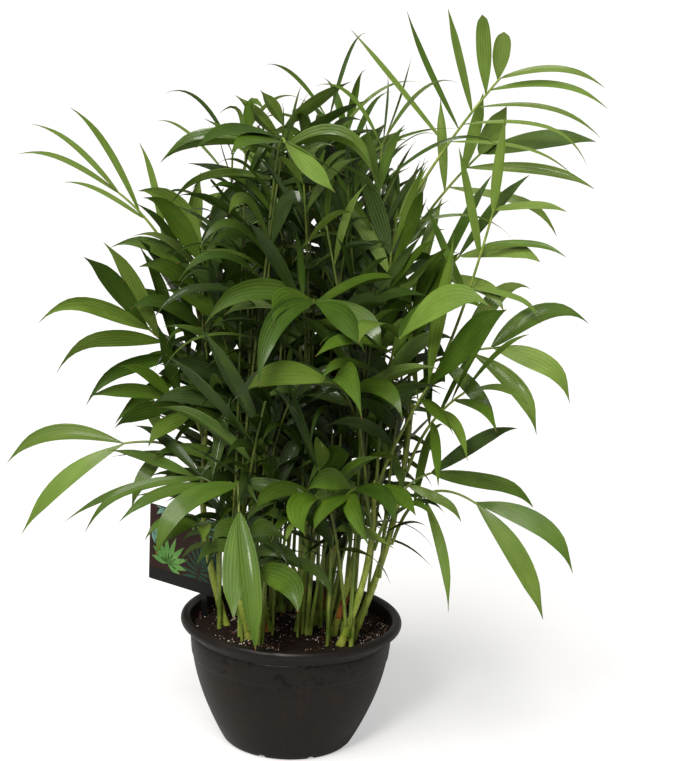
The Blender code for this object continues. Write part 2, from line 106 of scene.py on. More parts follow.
def put(tree, kind, settings=None, **values):
    """A node in a tree. A value is a number, a colour or another node's socket, for the input it names."""
    made = tree.nodes.new(kind)
    for name, value in (settings or {}).items():
        setattr(made, name, value)
    for name, value in values.items():
        socket = made.inputs[int(name[1:]) if name[0] == "_" else name.replace("_", " ")]
        if isinstance(value, bpy.types.NodeSocket):
            tree.links.new(value, socket)
        else:
            socket.default_value = value
    return made


def sockets(tree, inputs, outputs):
    """The named inputs and outputs of a node group, each with its kind and the value that it starts with."""
    for name, kind, value in inputs:
        made = tree.interface.new_socket(name, in_out="INPUT", socket_type="NodeSocket" + kind)
        if value is not None:
            made.default_value = value
    for name, kind in outputs:
        tree.interface.new_socket(name, in_out="OUTPUT", socket_type="NodeSocket" + kind)
    return tree.nodes.new("NodeGroupInput").outputs, tree.nodes.new("NodeGroupOutput").inputs


def blend(tree, factor, low, high):
    """The colour that lies between two others by a factor."""
    made = put(tree, "ShaderNodeMix", {"data_type": "RGBA"}, _0=factor, _6=low, _7=high)
    return made.outputs[2]


def ramp(tree, value, low, high, out_low=0.0, out_high=1.0):
    """A value carried smoothly from one range into another."""
    made = put(tree, "ShaderNodeMapRange", {"interpolation_type": "SMOOTHSTEP"}, Value=value)
    for name, number in (("From Min", low), ("From Max", high), ("To Min", out_low), ("To Max", out_high)):
        made.inputs[name].default_value = number
    return made.outputs[0]


def new_material(name, **plain):
    """A material with the values that are the same all over it set on its shader."""
    made = bpy.data.materials.new(name)
    made.use_nodes = True
    shader = made.node_tree.nodes["Principled BSDF"]
    for key, value in plain.items():
        shader.inputs[key.replace("_", " ")].default_value = value
    return made, made.node_tree, shader


def maths(tree, operation, *values, **settings):
    """The result of a sum on one, two or three numbers or sockets."""
    return put(tree, "ShaderNodeMath", {"operation": operation, **settings},
               **{f"_{k}": value for k, value in enumerate(values)}).outputs[0]


def speckle(tree, place, scale, detail, roughness=0.5):
    """A cloudy pattern, with scale as how many of its spots lie in a metre."""
    return put(tree, "ShaderNodeTexNoise", Vector=place, Scale=scale, Detail=detail,
               Roughness=roughness).outputs[0]


def shaded(tree, colour, by):
    """A colour made darker or brighter by a factor."""
    return put(tree, "ShaderNodeVectorMath", {"operation": "SCALE"}, Vector=colour, Scale=by).outputs[0]


def join_finish(tree, shader, colour, roughness, height, bump, depth):
    """Joins a colour, a roughness, and a relief with its strength and depth, to a material's shader."""
    relief = put(tree, "ShaderNodeBump", Strength=bump, Distance=depth, Height=height).outputs[0]
    for socket, name in ((colour, "Base Color"), (roughness, "Roughness"), (relief, "Normal")):
        tree.links.new(socket, shader.inputs[name])


def group_finish(name, group, inputs, bump, depth, **plain):
    """A material whose colour, roughness and relief come from a node group with inputs of its own."""
    made, tree, shader = new_material(name, **plain)
    given = {key: (*value, 1.0) if isinstance(value, tuple) else value for key, value in inputs.items()}
    finish = put(tree, "ShaderNodeGroup", {"node_tree": group}, **given)
    join_finish(tree, shader, *(finish.outputs[key] for key, _ in FINISH), bump, depth)
    return made


def make_moulded_group():
    """Moulded plastic: grain from the mould, satin patches, and dust dried in patches and runs.

    Damp leaves dark, smoother blots on the band under the lip.
    """
    tree = bpy.data.node_groups.new("moulded_plastic", "ShaderNodeTree")
    given, result = sockets(
        tree,
        [
            ("Colour", "Color", (0.01, 0.01, 0.01, 1.0)),
            ("Dust colour", "Color", (0.1, 0.07, 0.05, 1.0)),
            ("Dust", "Float", 0.3),
            ("Grain size", "Float", 0.0008),
            ("Roughness", "Float", 0.4),
            ("Damp", "Float", 0.0),
        ],
        FINISH,
    )
    place = put(tree, "ShaderNodeTexCoord").outputs["Object"]
    grain = speckle(tree, place, maths(tree, "DIVIDE", 1.0, given["Grain size"]), 3.0)
    cloud = speckle(tree, place, 22.0, 6.0, 0.65)
    fine = speckle(tree, place, 160.0, 5.0, 0.7)
    tall = put(tree, "ShaderNodeMapping", Vector=place, Scale=(1.0, 1.0, 0.06)).outputs[0]
    runs = speckle(tree, tall, 70.0, 5.0, 0.6)
    patchy = maths(tree, "MULTIPLY_ADD", runs, 0.5, maths(tree, "MULTIPLY", cloud, 0.6))
    settled_dust = maths(tree, "MULTIPLY", ramp(tree, patchy, 0.50, 0.74), ramp(tree, fine, 0.36, 0.66))
    dust = maths(tree, "MULTIPLY", settled_dust, given["Dust"])
    height = put(tree, "ShaderNodeSeparateXYZ", Vector=place).outputs[2]
    on_band = maths(tree, "MULTIPLY", ramp(tree, height, *BLOTS_FROM), ramp(tree, height, *BLOTS_TO))
    blots = maths(tree, "MULTIPLY", on_band, ramp(tree, speckle(tree, place, 85.0, 4.0, 0.6), 0.53, 0.58))
    damp = maths(tree, "MULTIPLY", blots, given["Damp"])
    dusted = blend(tree, dust, given["Colour"], given["Dust colour"])
    tree.links.new(shaded(tree, dusted, maths(tree, "MULTIPLY_ADD", damp, -0.75, 1.0)), result["Colour"])
    rough = maths(tree, "MULTIPLY_ADD", cloud, 0.18, given["Roughness"])
    rough = maths(tree, "MULTIPLY_ADD", damp, -0.12, rough)
    tree.links.new(maths(tree, "MULTIPLY_ADD", dust, 0.5, rough), result["Roughness"])
    tree.links.new(grain, result["Height"])
    return tree


moulded_group = make_moulded_group()


def moulded_plastic(name, colour, dust_colour, dust, roughness, grain_size, bump, damp=0.0, **plain):
    """Plastic of one colour, with the dust that lies on it, the damp, and the grain of its mould."""
    return group_finish(name, moulded_group, {
        "Colour": colour, "Dust colour": dust_colour, "Dust": dust, "Roughness": roughness,
        "Grain size": grain_size, "Damp": damp,
    }, bump, 0.0002, **plain)


def pot_radius(height):
    """The outer radius of the bowl's bulging wall at a height."""
    share = math.sin(math.pi / 2 * min(1.0, height / POT_SHOULDER_HEIGHT))
    return POT_FOOT_RADIUS + (POT_SHOULDER_RADIUS - POT_FOOT_RADIUS) * share**POT_BULGE


def pot_outline():
    """Radius and height round the bowl's section, from under the middle of its foot to inside its floor."""
    made = [(0.0, FOOT_SECTION[0][1])]
    made += [(POT_FOOT_RADIUS + beyond, height) for beyond, height in FOOT_SECTION]
    rise = WALL_START
    while rise < WALL_END:
        made.append((pot_radius(rise), rise))
        rise += WALL_STEP
    for height, proud in (
        (BAND_LOW - 0.0010, 0.0), (BAND_LOW - 0.0002, 0.1), (BAND_LOW + 0.0004, 0.85),
        (BAND_LOW + 0.0012, 1.0), (0.5 * (BAND_LOW + BAND_HIGH), 1.0), (BAND_HIGH - 0.001, 0.9),
        (BAND_HIGH, 0.2),
    ):
        made.append((pot_radius(height) + BAND_PROUD * proud, height))
    for degrees in LIP_TURNS:
        turn = math.radians(degrees)
        made.append((LIP_CENTRE_RADIUS + LIP_ROLL_RADIUS * math.cos(turn),
                     LIP_CENTRE_HEIGHT + LIP_ROLL_RADIUS * math.sin(turn)))
    made += [(pot_radius(height) - POT_WALL, height) for height in INSIDE_HEIGHTS]
    made.append((0.0, POT_FLOOR))
    return made


def turned_pot():
    """The bowl: its outline turned round, with the gaps in the edge of its foot."""
    outline = pot_outline()
    points = [(0.0, 0.0, outline[0][1])]
    for radius, height in outline[1:-1]:
        for side in range(POT_SIDES):
            turn = math.tau * side / POT_SIDES
            lift = 0.0
            if height < FOOT_GAP_HEIGHT and radius > POT_FOOT_RADIUS - FOOT_RING_WIDTH:
                pitch = math.tau / FOOT_GAPS
                off = abs((turn + math.pi / 2) % pitch - pitch / 2) * radius / (FOOT_GAP_WIDTH / 2)
                lift = (FOOT_GAP_HEIGHT - height) * max(0.0, 1 - off**4)
            points.append((radius * math.cos(turn), radius * math.sin(turn), height + lift))
    points.append((0.0, 0.0, outline[-1][1]))
    faces = []
    rings = len(outline) - 2
    last = 1 + (rings - 1) * POT_SIDES
    for side in range(POT_SIDES):
        after = (side + 1) % POT_SIDES
        faces.append((0, 1 + after, 1 + side))
        for ring in range(rings - 1):
            low, high = 1 + ring * POT_SIDES, 1 + (ring + 1) * POT_SIDES
            faces.append((low + side, low + after, high + after, high + side))
        faces.append((last + side, last + after, len(points) - 1))
    return points, faces


pot_plastic = moulded_plastic(
    "pot_plastic", (0.0110, 0.0078, 0.0064), (0.075, 0.048, 0.033), 0.24, 0.26, 0.0007, 0.35, damp=0.9,
    Specular_IOR_Level=0.30,
)
bowl = closed_piece("bowl", *turned_pot(), pot_plastic, smooth_under=50)
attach(bowl, "root")
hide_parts("pot")


# The soil --------------------------------------------------------------------------------------------
# Peat-dark potting soil that fills the bowl to just under its lip. It is lumpy, it rises a little round
# each cane, and crumbs, chips of bark and grains of white perlite lie loose on it.

SOIL_LUMP, SOIL_CRUMB = 0.0022, 0.0006
LUMPS_PER_METRE, CRUMBS_PER_METRE = 60, 330
SOIL_MOUND, MOUND_REACH = 0.0020, 0.009
SOIL_DIP, DIP_FROM, DIP_OVER = 0.0015, 0.93, 0.07
SOIL_GAP = 0.0002
SOIL_UNDERSIDE = 0.110
SOIL_RINGS, SOIL_SIDES = 44, 128
# Canes: foot x, foot y, azimuth of the lean, lean from upright, height above the soil
CANES = (
    (-0.071, -0.006, 178, 7, 0.22),
    (-0.024, -0.018, 215, 6, 0.27),
    (-0.012, 0.040, 120, 6, 0.31),
    (0.008, -0.016, 280, 4, 0.28),
    (0.029, 0.008, 20, 4, 0.33),
    (0.038, 0.044, 60, 8, 0.30),
    (0.045, -0.026, 330, 7, 0.26),
    (0.053, -0.056, 325, 10, 0.19),
    (0.065, -0.040, 348, 11, 0.27),
    (-0.048, 0.030, 150, 8, 0.28),
    (0.012, 0.068, 85, 9, 0.26),
    (-0.044, -0.046, 235, 10, 0.18),
)


def soil_height(x, y):
    """Height of the soil's lumpy top at a place."""
    spot = Vector((x, y, 0.0))
    lumps = noise.fractal(spot * LUMPS_PER_METRE, 0.9, 2.1, 5) * SOIL_LUMP
    crumbs = noise.fractal(spot * CRUMBS_PER_METRE + Vector((5, 3, 1)), 0.8, 2.0, 3) * SOIL_CRUMB
    mound = sum(SOIL_MOUND * math.exp(-(math.hypot(x - cane[0], y - cane[1]) / MOUND_REACH) ** 2)
                for cane in CANES)
    return SOIL_LEVEL + lumps + crumbs + mound


def lumpy_soil():
    """The top as rings of points, closed by a side wall and a flat underside well below it."""
    edge = pot_radius(SOIL_LEVEL) - POT_WALL - SOIL_GAP
    low_edge = pot_radius(SOIL_UNDERSIDE) - POT_WALL - SOIL_GAP
    points = [(0.0, 0.0, soil_height(0.0, 0.0))]
    for ring in range(1, SOIL_RINGS + 1):
        radius = edge * ring / SOIL_RINGS
        dip = SOIL_DIP * max(0.0, (radius / edge - DIP_FROM) / DIP_OVER)
        for side in range(SOIL_SIDES):
            turn = math.tau * (side + 0.5 * (ring % 2)) / SOIL_SIDES
            x, y = radius * math.cos(turn), radius * math.sin(turn)
            points.append((x, y, soil_height(x, y) - dip))
    top_faces = []
    for side in range(SOIL_SIDES):
        after = (side + 1) % SOIL_SIDES
        top_faces.append((0, 1 + side, 1 + after))
        for ring in range(SOIL_RINGS - 1):
            low, high = 1 + ring * SOIL_SIDES, 1 + (ring + 1) * SOIL_SIDES
            top_faces.append((low + side, high + side, high + after, low + after))
    foot = len(points)
    for side in range(SOIL_SIDES):
        turn = math.tau * (side + 0.5 * (SOIL_RINGS % 2)) / SOIL_SIDES
        points.append((low_edge * math.cos(turn), low_edge * math.sin(turn), SOIL_UNDERSIDE))
    rim = foot - SOIL_SIDES
    side_faces = []
    for side in range(SOIL_SIDES):
        after = (side + 1) % SOIL_SIDES
        side_faces.append((rim + side, foot + side, foot + after, rim + after))
    side_faces.append(tuple(foot + side for side in reversed(range(SOIL_SIDES))))
    return points, top_faces, side_faces


def soil_material(name, dark, light, roughness, scale, bump):
    """What lies loose in the pot: clods with darker cells between them, matt and uneven."""
    made, tree, shader = new_material(name, Specular_IOR_Level=0.25)
    place = put(tree, "ShaderNodeTexCoord").outputs["Object"]
    clods = speckle(tree, place, scale, 8.0, 0.75)
    cells = put(tree, "ShaderNodeTexVoronoi", Vector=place, Scale=scale * 2.2).outputs[0]
    colour = blend(tree, ramp(tree, maths(tree, "MULTIPLY", clods, cells), 0.05, 0.42), (*dark, 1.0),
                   (*light, 1.0))
    rough = ramp(tree, clods, 0.3, 0.7, roughness - 0.12, roughness + 0.05)
    join_finish(tree, shader, colour, rough, clods, bump, 0.0015)
    return made


peat = soil_material("peat", (0.0045, 0.0026, 0.0020), (0.030, 0.015, 0.010), 0.9, 240.0, 1.0)
soil_points, soil_top, soil_sides = lumpy_soil()
soil_body = closed_piece("soil_body", soil_points, soil_top + soil_sides, peat, smooth_under=60)
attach(soil_body, "root")
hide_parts("soil")


def make_strewn_tree():
    """Geometry Nodes that strew one small grain over a surface, turned and sized at random.

    Drifts says how far the grains gather in heaps, with bare ground between them.
    """
    tree = bpy.data.node_groups.new("strewn_grains", "GeometryNodeTree")
    given, result = sockets(
        tree,
        [
            ("Surface", "Geometry", None),
            ("Grain", "Object", None),
            ("Per square metre", "Float", 1000.0),
            ("Drifts", "Float", 0.0),
            ("Smallest", "Float", 0.5),
            ("Largest", "Float", 1.5),
            ("Seed", "Int", 1),
            ("Material", "Material", None),
        ],
        [("Grains", "Geometry")],
    )
    heaps = put(tree, "ShaderNodeTexNoise", Scale=42.0, Detail=1.0)
    heaped = maths(tree, "MULTIPLY_ADD", ramp(tree, heaps.outputs[0], 0.40, 0.62, -1.0, 2.2),
                   given["Drifts"], 1.0)
    strewn = put(tree, "GeometryNodeDistributePointsOnFaces", Mesh=given["Surface"], Seed=given["Seed"],
                 Density=maths(tree, "MULTIPLY", heaped, given["Per square metre"]))
    grain = put(tree, "GeometryNodeObjectInfo", Object=given["Grain"])
    turn = put(tree, "FunctionNodeRandomValue", {"data_type": "FLOAT_VECTOR"}, _0=(0.0, 0.0, 0.0),
               _1=(math.tau, math.tau, math.tau), Seed=given["Seed"])
    size = put(tree, "FunctionNodeRandomValue", {"data_type": "FLOAT"}, _2=given["Smallest"],
               _3=given["Largest"], Seed=given["Seed"])
    placed = put(tree, "GeometryNodeInstanceOnPoints", Points=strewn.outputs["Points"],
                 Instance=grain.outputs["Geometry"], Rotation=turn.outputs[0], Scale=size.outputs[1])
    real = put(tree, "GeometryNodeRealizeInstances", Geometry=placed.outputs[0])
    dressed = put(tree, "GeometryNodeSetMaterial", Geometry=real.outputs[0], Material=given["Material"])
    tree.links.new(dressed.outputs[0], result["Grains"])
    return tree


def made_by_nodes(name, mesh, tree, values):
    """The plain mesh that a Geometry Nodes tree makes of a starting mesh, as an object at the origin."""
    carrier = bpy.data.objects.new(name + "_start", mesh)
    bpy.context.scene.collection.objects.link(carrier)
    modifier = carrier.modifiers.new("maker", "NODES")
    modifier.node_group = tree
    for socket in tree.interface.items_tree:
        if socket.in_out == "INPUT" and socket.name in values:
            modifier[socket.identifier] = values[socket.name]
    graph = bpy.context.evaluated_depsgraph_get()
    made = bpy.data.meshes.new_from_object(carrier.evaluated_get(graph), preserve_all_data_layers=True,
                                           depsgraph=graph)
    carrier.modifiers.clear()
    bpy.data.objects.remove(carrier)
    made.name = name
    piece = bpy.data.objects.new(name, made)
    bpy.context.scene.collection.objects.link(piece)
    return piece


def rough_grain(name, size, unevenness, seed):
    """A small uneven lump with few faces, which stays out of the scene once it has been strewn."""
    draw = random.Random(seed)
    mesh = bpy.data.meshes.new(name)
    shape = bmesh.new()
    bmesh.ops.create_icosphere(shape, subdivisions=1, radius=1.0)
    for corner in shape.verts:
        far = 1 + draw.uniform(-unevenness, unevenness)
        corner.co = Vector((corner.co.x * size[0], corner.co.y * size[1], corner.co.z * size[2])) * far / 2
    shape.to_mesh(mesh)
    shape.free()
    made = bpy.data.objects.new(name, mesh)
    bpy.context.scene.collection.objects.link(made)
    return made


strewn_tree = make_strewn_tree()
bark = soil_material("bark_chip", (0.040, 0.013, 0.006), (0.20, 0.075, 0.030), 0.75, 300.0, 0.6)
perlite = soil_material("perlite", (0.52, 0.42, 0.35), (0.90, 0.80, 0.71), 0.85, 500.0, 0.5)
# Grain's size and unevenness, grains per square metre, how far they drift, smallest and largest, seed, finish
for name, size, unevenness, density, drifts, smallest, largest, seed, finish in (
    ("soil_crumbs", (0.0030, 0.0024, 0.0018), 0.25, 120000.0, 0.0, 0.35, 1.40, 3, peat),
    ("bark_chips", (0.0062, 0.0026, 0.0012), 0.20, 5600.0, 0.4, 0.40, 1.30, 5, bark),
    ("perlite_grains", (0.0019, 0.0016, 0.0014), 0.25, 13000.0, 0.9, 0.35, 1.25, 8, perlite),
    ("perlite_lumps", (0.0030, 0.0024, 0.0020), 0.30, 3800.0, 0.9, 0.50, 1.20, 9, perlite),
):
    top = bpy.data.meshes.new(name + "_bed")
    top.from_pydata([tuple(p) for p in soil_points[: 1 + SOIL_RINGS * SOIL_SIDES]], [], soil_top)
    grain = rough_grain(name + "_one", size, unevenness, seed)
    strewn = made_by_nodes(name, top, strewn_tree, {
        "Grain": grain, "Per square metre": density, "Drifts": drifts, "Smallest": smallest,
        "Largest": largest, "Seed": seed, "Material": finish,
    })
    bpy.data.objects.remove(grain)
    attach(strewn, "root")


# The label -------------------------------------------------------------------------------------------
# A plain printed card on a slim peg of black plastic that is pushed into the soil. The card is dark brown
# with a near-black band along its foot, and simple leaves are printed on it in three greens.

CARD_WIDTH, CARD_HEIGHT, CARD_THICKNESS = 0.104, 0.087, 0.0014
CARD_CENTRE = Vector((-0.120, 0.040, 0.195))
CARD_TURN = Matrix.Rotation(math.radians(-38), 3, "Z")
CARD_CORNER, CARD_EDGE, CORNER_STEPS = 0.0016, 0.0002, 4
CARD_BAND, CARD_BAND_THICKNESS, CARD_BAND_MARGIN = 0.014, 0.0002, 0.0005
CARD_BAND_CORNER, CARD_BAND_EDGE = 0.0012, 0.00003
PRINT_PROUD, PRINT_MARGIN, PRINT_OFF_BAND, PRINT_STEPS = 0.00008, 0.0009, 0.0006, 7
PEG_WIDTH, PEG_THICKNESS, PEG_SHIFT, PEG_TOP = 0.008, 0.0024, 0.029, 0.190
PEG_CORNER, PEG_EDGE, PEG_SUNK = 0.0010, 0.0004, 0.004
# Edges of the label's flat pieces that turn by more than this stay sharp
PLATE_SHARP = 30


def on_card(x, depth, z):
    """A place on the card: x across it, z up it, both from its middle, and depth in front of its middle."""
    return CARD_CENTRE + CARD_TURN @ Vector((x, -depth, z))


def rounded_plate(width, height, thickness, corner, edge, place):
    """A plate with round corners and eased edges. Place turns x, depth and z into a point."""
    rim = []
    for cx, cz, start in ((1, 1, 0), (-1, 1, 90), (-1, -1, 180), (1, -1, 270)):
        for step in range(CORNER_STEPS + 1):
            turn = math.radians(start + 90 / CORNER_STEPS * step)
            rim.append((cx * (width / 2 - corner), cz * (height / 2 - corner), math.cos(turn),
                        math.sin(turn)))
    points = []
    for depth, inset in ((thickness / 2, edge), (thickness / 2 - edge, 0.0), (edge - thickness / 2, 0.0),
                         (-thickness / 2, edge)):
        for x, z, c, s in rim:
            points.append(place(x + c * (corner - inset), depth, z + s * (corner - inset)))
    count = len(rim)
    faces = [tuple(range(count)), tuple(reversed(range(3 * count, 4 * count)))]
    for ring in range(3):
        for k in range(count):
            after = (k + 1) % count
            faces.append((ring * count + k, ring * count + after, ring * count + count + after,
                          ring * count + count + k))
    return points, faces


def card_stock(name, colour, light, roughness):
    """Printed card: its colour with the faint mottle of ink on board, under a satin coat."""
    made, tree, shader = new_material(name, Specular_IOR_Level=0.22, Coat_Weight=0.06, Coat_Roughness=0.4)
    place = put(tree, "ShaderNodeTexCoord").outputs["Object"]
    fibre = speckle(tree, place, 900.0, 4.0)
    cloud = speckle(tree, place, 45.0, 3.0)
    mottle = ramp(tree, maths(tree, "MULTIPLY", fibre, cloud), 0.12, 0.42)
    join_finish(tree, shader, blend(tree, mottle, (*colour, 1.0), (*light, 1.0)),
                ramp(tree, cloud, 0.3, 0.7, roughness, roughness + 0.12), fibre, 0.15, 0.0001)
    return made


def joined(shapes):
    """Several closed shapes as the points and faces of one mesh."""
    points, faces = [], []
    for shape in shapes:
        faces += [tuple(len(points) + i for i in face) for face in shape[1]]
        points += shape[0]
    return points, faces


def printed_leaf(x, z, turn, length, width):
    """One printed leaf: a pointed oval from its root, kept within the card's edge."""
    a, last = math.radians(turn), PRINT_STEPS - 1
    there_and_back = [(k / last, 1) for k in range(last + 1)]
    there_and_back += [(k / last, -1) for k in range(last - 1, 0, -1)]
    points = []
    for depth in (CARD_THICKNESS / 2 + PRINT_PROUD, CARD_THICKNESS / 2 - PRINT_PROUD):
        for share, side in there_and_back:
            out = side * width / 2 * math.sin(math.pi * share**0.8)
            px = x + math.cos(a) * share * length - math.sin(a) * out
            pz = z + math.sin(a) * share * length + math.cos(a) * out
            px = min(max(px, PRINT_MARGIN - CARD_WIDTH / 2), CARD_WIDTH / 2 - PRINT_MARGIN)
            pz = min(max(pz, CARD_BAND + PRINT_OFF_BAND - CARD_HEIGHT / 2), CARD_HEIGHT / 2 - PRINT_MARGIN)
            points.append(on_card(px, depth, pz))
    count = len(there_and_back)
    faces = [tuple(range(count)), tuple(reversed(range(count, 2 * count)))]
    faces += [(k, (k + 1) % count, count + (k + 1) % count, count + k) for k in range(count)]
    return points, faces


def printed_spray(x, z, turn, count, spread, length, width, feathered=0.0):
    """A fan of printed leaves from one place, or a feather where the roots are spaced along its middle."""
    a, leaves = math.radians(turn), []
    for k in range(count):
        share = k / (count - 1)
        along = feathered * (1 - abs(2 * share - 1))
        leaves.append(printed_leaf(
            x + along * math.cos(a), z + along * math.sin(a), turn + spread * (share - 0.5),
            length * (0.72 + 0.28 * math.sin(math.pi * share)), width))
    return joined(leaves)


brown_card = card_stock("brown_card", (0.030, 0.012, 0.009), (0.042, 0.017, 0.013), 0.42)
black_band = card_stock("black_band", (0.009, 0.009, 0.0085), (0.013, 0.013, 0.012), 0.34)
card = closed_piece(
    "card", *rounded_plate(CARD_WIDTH, CARD_HEIGHT, CARD_THICKNESS, CARD_CORNER, CARD_EDGE, on_card),
    brown_card, PLATE_SHARP)
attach(card, "root")
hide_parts("label_card")
band = closed_piece(
    "card_band",
    *rounded_plate(
        CARD_WIDTH - 2 * CARD_BAND_MARGIN, CARD_BAND, CARD_BAND_THICKNESS, CARD_BAND_CORNER, CARD_BAND_EDGE,
        lambda x, depth, z: on_card(
            x, CARD_THICKNESS / 2 + depth, z - CARD_HEIGHT / 2 + CARD_BAND / 2 + CARD_BAND_MARGIN)),
    black_band, PLATE_SHARP)
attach(band, "root")
# Each spray: x, z, turn, leaves, degrees that they spread over, leaf length, leaf width, and how far apart a
# feather's roots lie
for name, colour, light, sprays in (
    ("card_print_pale", (0.16, 0.36, 0.28), (0.30, 0.52, 0.42), (
        (-0.026, 0.046, -88, 7, 160, 0.024, 0.0062), (0.048, 0.036, 200, 7, 140, 0.026, 0.0055),
        (-0.048, 0.012, -10, 5, 120, 0.020, 0.0050))),
    ("card_print_light", (0.10, 0.30, 0.06), (0.22, 0.44, 0.12), (
        (-0.024, -0.020, 70, 9, 200, 0.034, 0.0070), (0.010, 0.045, -70, 6, 130, 0.022, 0.006))),
    ("card_print_dark", (0.018, 0.075, 0.042), (0.035, 0.12, 0.07), (
        (0.020, -0.026, 75, 15, 220, 0.032, 0.0032, 0.020), (0.046, -0.010, 120, 9, 150, 0.026, 0.0032))),
):
    printed = closed_piece(name, *joined([printed_spray(*spray) for spray in sprays]),
                           card_stock(name, colour, light, 0.4), PLATE_SHARP)
    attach(printed, "root")

peg_plastic = moulded_plastic("peg_plastic", (0.009, 0.009, 0.009), (0.06, 0.04, 0.03), 0.2, 0.34, 0.0005,
                              0.3)
peg_foot = SOIL_LEVEL - PEG_SUNK
peg = closed_piece(
    "peg",
    *rounded_plate(
        PEG_WIDTH, PEG_TOP - peg_foot, PEG_THICKNESS, PEG_CORNER, PEG_EDGE,
        lambda x, depth, z: on_card(
            PEG_SHIFT + x, depth - (CARD_THICKNESS + PEG_THICKNESS) / 2,
            z + (PEG_TOP + peg_foot) / 2 - CARD_CENTRE.z)),
    peg_plastic, PLATE_SHARP)
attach(peg, "root")
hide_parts("label_peg")


# The canes -------------------------------------------------------------------------------------------
# Slim green stems, no thicker than a pencil, that stand close together in the soil. Each is wrapped in the
# sheaths of its old leaves, one above the other, which leave a raised ring where each one ends.

CANE_FOOT_RADIUS = 0.0048
CANE_TOP_RADIUS = 0.0028
CANE_FLARE = 1.35
CANE_FLARE_HEIGHT = 0.012
CANE_BOW = 0.012
CANE_RINGS = 4
CANE_SIDES = 20
CANE_STEP = 0.0016
# Radius of the bare cane under its sheaths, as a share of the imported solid's
CANE_BARE = 0.84
CANE_SUNK_RINGS, CANE_SUNK = 2, 0.003
CANE_TIP = (0.95, 0.75, 0.25)
SHEATH_SHORTEST, SHEATH_LONGEST = 0.020, 0.046
SHEATH_RING, RING_PLACE, RING_WIDTH = 0.00045, 0.0012, 0.0009
SHEATH_OPEN = 0.00035
# The crown as an egg round its middle, inside which stems and leaflets get painted shade. Below LIT_BELOW
# the stems' skin is painted fully lit.
CROWN_MIDDLE = Vector((-0.01, -0.01, 0.42))
CROWN_REACH = (0.19, 0.18, 0.32)
LIT_BELOW, LIT_OVER = 0.33, 0.12
CLEAR = 0.0004
UP = Vector((0.0, 0.0, 1.0))


def mix(low, high, part):
    """The number at some part of the way from one to another."""
    return low + (high - low) * part


def towards(azimuth, elevation):
    """Unit vector at an azimuth from +X and an elevation above level, both in degrees."""
    a, e = math.radians(azimuth), math.radians(elevation)
    return Vector((math.cos(a) * math.cos(e), math.sin(a) * math.cos(e), math.sin(e)))


def cane_curve(cane, share):
    """A point on the curve that a cane grows along. It leans, and bows out at mid height."""
    x, y, azimuth, lean, height = CANES[cane]
    along = towards(azimuth, 90 - lean)
    foot = Vector((x, y, SOIL_LEVEL + CLEAR))
    rise = share * height / along.z
    return foot + along * rise + towards(azimuth, 0) * CANE_BOW * math.sin(math.pi * share)


def cane_point(cane, share):
    """A point on a cane's packed axis, which runs straight from ring to ring."""
    flare = CANE_FLARE_HEIGHT / CANES[cane][4]
    rings = [0.0] + [mix(flare, 1.0, k / CANE_RINGS) for k in range(CANE_RINGS + 1)]
    k = max(k for k in range(len(rings) - 1) if rings[k] <= share)
    part = (share - rings[k]) / (rings[k + 1] - rings[k])
    return cane_curve(cane, rings[k]).lerp(cane_curve(cane, rings[k + 1]), part)


def cane_radius(cane, share):
    """A cane's packed radius, which flares at its foot."""
    height = CANES[cane][4] * share
    flare = 1 + (CANE_FLARE - 1) * max(0.0, 1 - height / CANE_FLARE_HEIGHT)
    return (CANE_FOOT_RADIUS + (CANE_TOP_RADIUS - CANE_FOOT_RADIUS) * share) * flare


def sheathed_cane(cane):
    """One cane with the relief of its sheaths, from just under the soil to its tip."""
    draw = random.Random(100 + cane)
    height = CANES[cane][4]
    joints = [0.0]
    while joints[-1] < height:
        joints.append(joints[-1] + draw.uniform(SHEATH_SHORTEST, SHEATH_LONGEST))
    points = []
    steps = int(height / CANE_STEP)
    for k in range(-CANE_SUNK_RINGS, steps + 1):
        share = max(0.0, k / steps)
        rise = share * height
        centre = cane_curve(cane, share) - UP * CANE_SUNK * max(0, -k)
        way = (cane_curve(cane, share + 0.01) - cane_curve(cane, share - 0.01)).normalized()
        out = way.cross(Vector((0, 1, 0))).normalized()
        over = way.cross(out)
        joint = max(j for j in joints if j <= rise)
        longest = min(j for j in joints if j > rise) - joint
        part = (rise - joint) / longest
        raised = SHEATH_RING if joint > 0 else 0.0
        ring = raised * math.exp(-((part * longest - RING_PLACE) / RING_WIDTH) ** 2)
        radius = cane_radius(cane, share) * CANE_BARE + ring + SHEATH_OPEN * part**3
        if k > steps - len(CANE_TIP):
            radius *= CANE_TIP[k - steps - 1]
        for side in range(CANE_SIDES):
            turn = math.tau * side / CANE_SIDES
            fluted = 1 + 0.018 * math.cos(5 * turn + cane) + 0.012 * math.sin(9 * turn + 2 * cane)
            points.append(centre + (out * math.cos(turn) + over * math.sin(turn)) * radius * fluted)
    rows = len(points) // CANE_SIDES
    faces = [tuple(reversed(range(CANE_SIDES))), tuple(range(len(points) - CANE_SIDES, len(points)))]
    for row in range(rows - 1):
        for side in range(CANE_SIDES):
            after = (side + 1) % CANE_SIDES
            low, high = row * CANE_SIDES, (row + 1) * CANE_SIDES
            faces.append((low + side, low + after, high + after, high + side))
    return points, faces


def outwardness(point):
    """How far out in the crown a point is, from 0 in its middle to 1 at its outside."""
    away = point - CROWN_MIDDLE
    return min(1.0, Vector([away[k] / CROWN_REACH[k] for k in range(3)]).length)


def painted_brightness(point):
    """How bright a stem's skin is painted at a point: full low down and far out, painted shade inside the
    crown.
    """
    return max(outwardness(point) ** 3, min(max((LIT_BELOW - point.z) / LIT_OVER, 0.0), 1.0))


def shade_attribute(mesh, tones):
    """Writes how bright each point is painted, as painted shade and chance tone, for stems and leaflets."""
    mesh.attributes.new("shade", "FLOAT", "POINT").data.foreach_set("value", np.array(tones, np.float32))


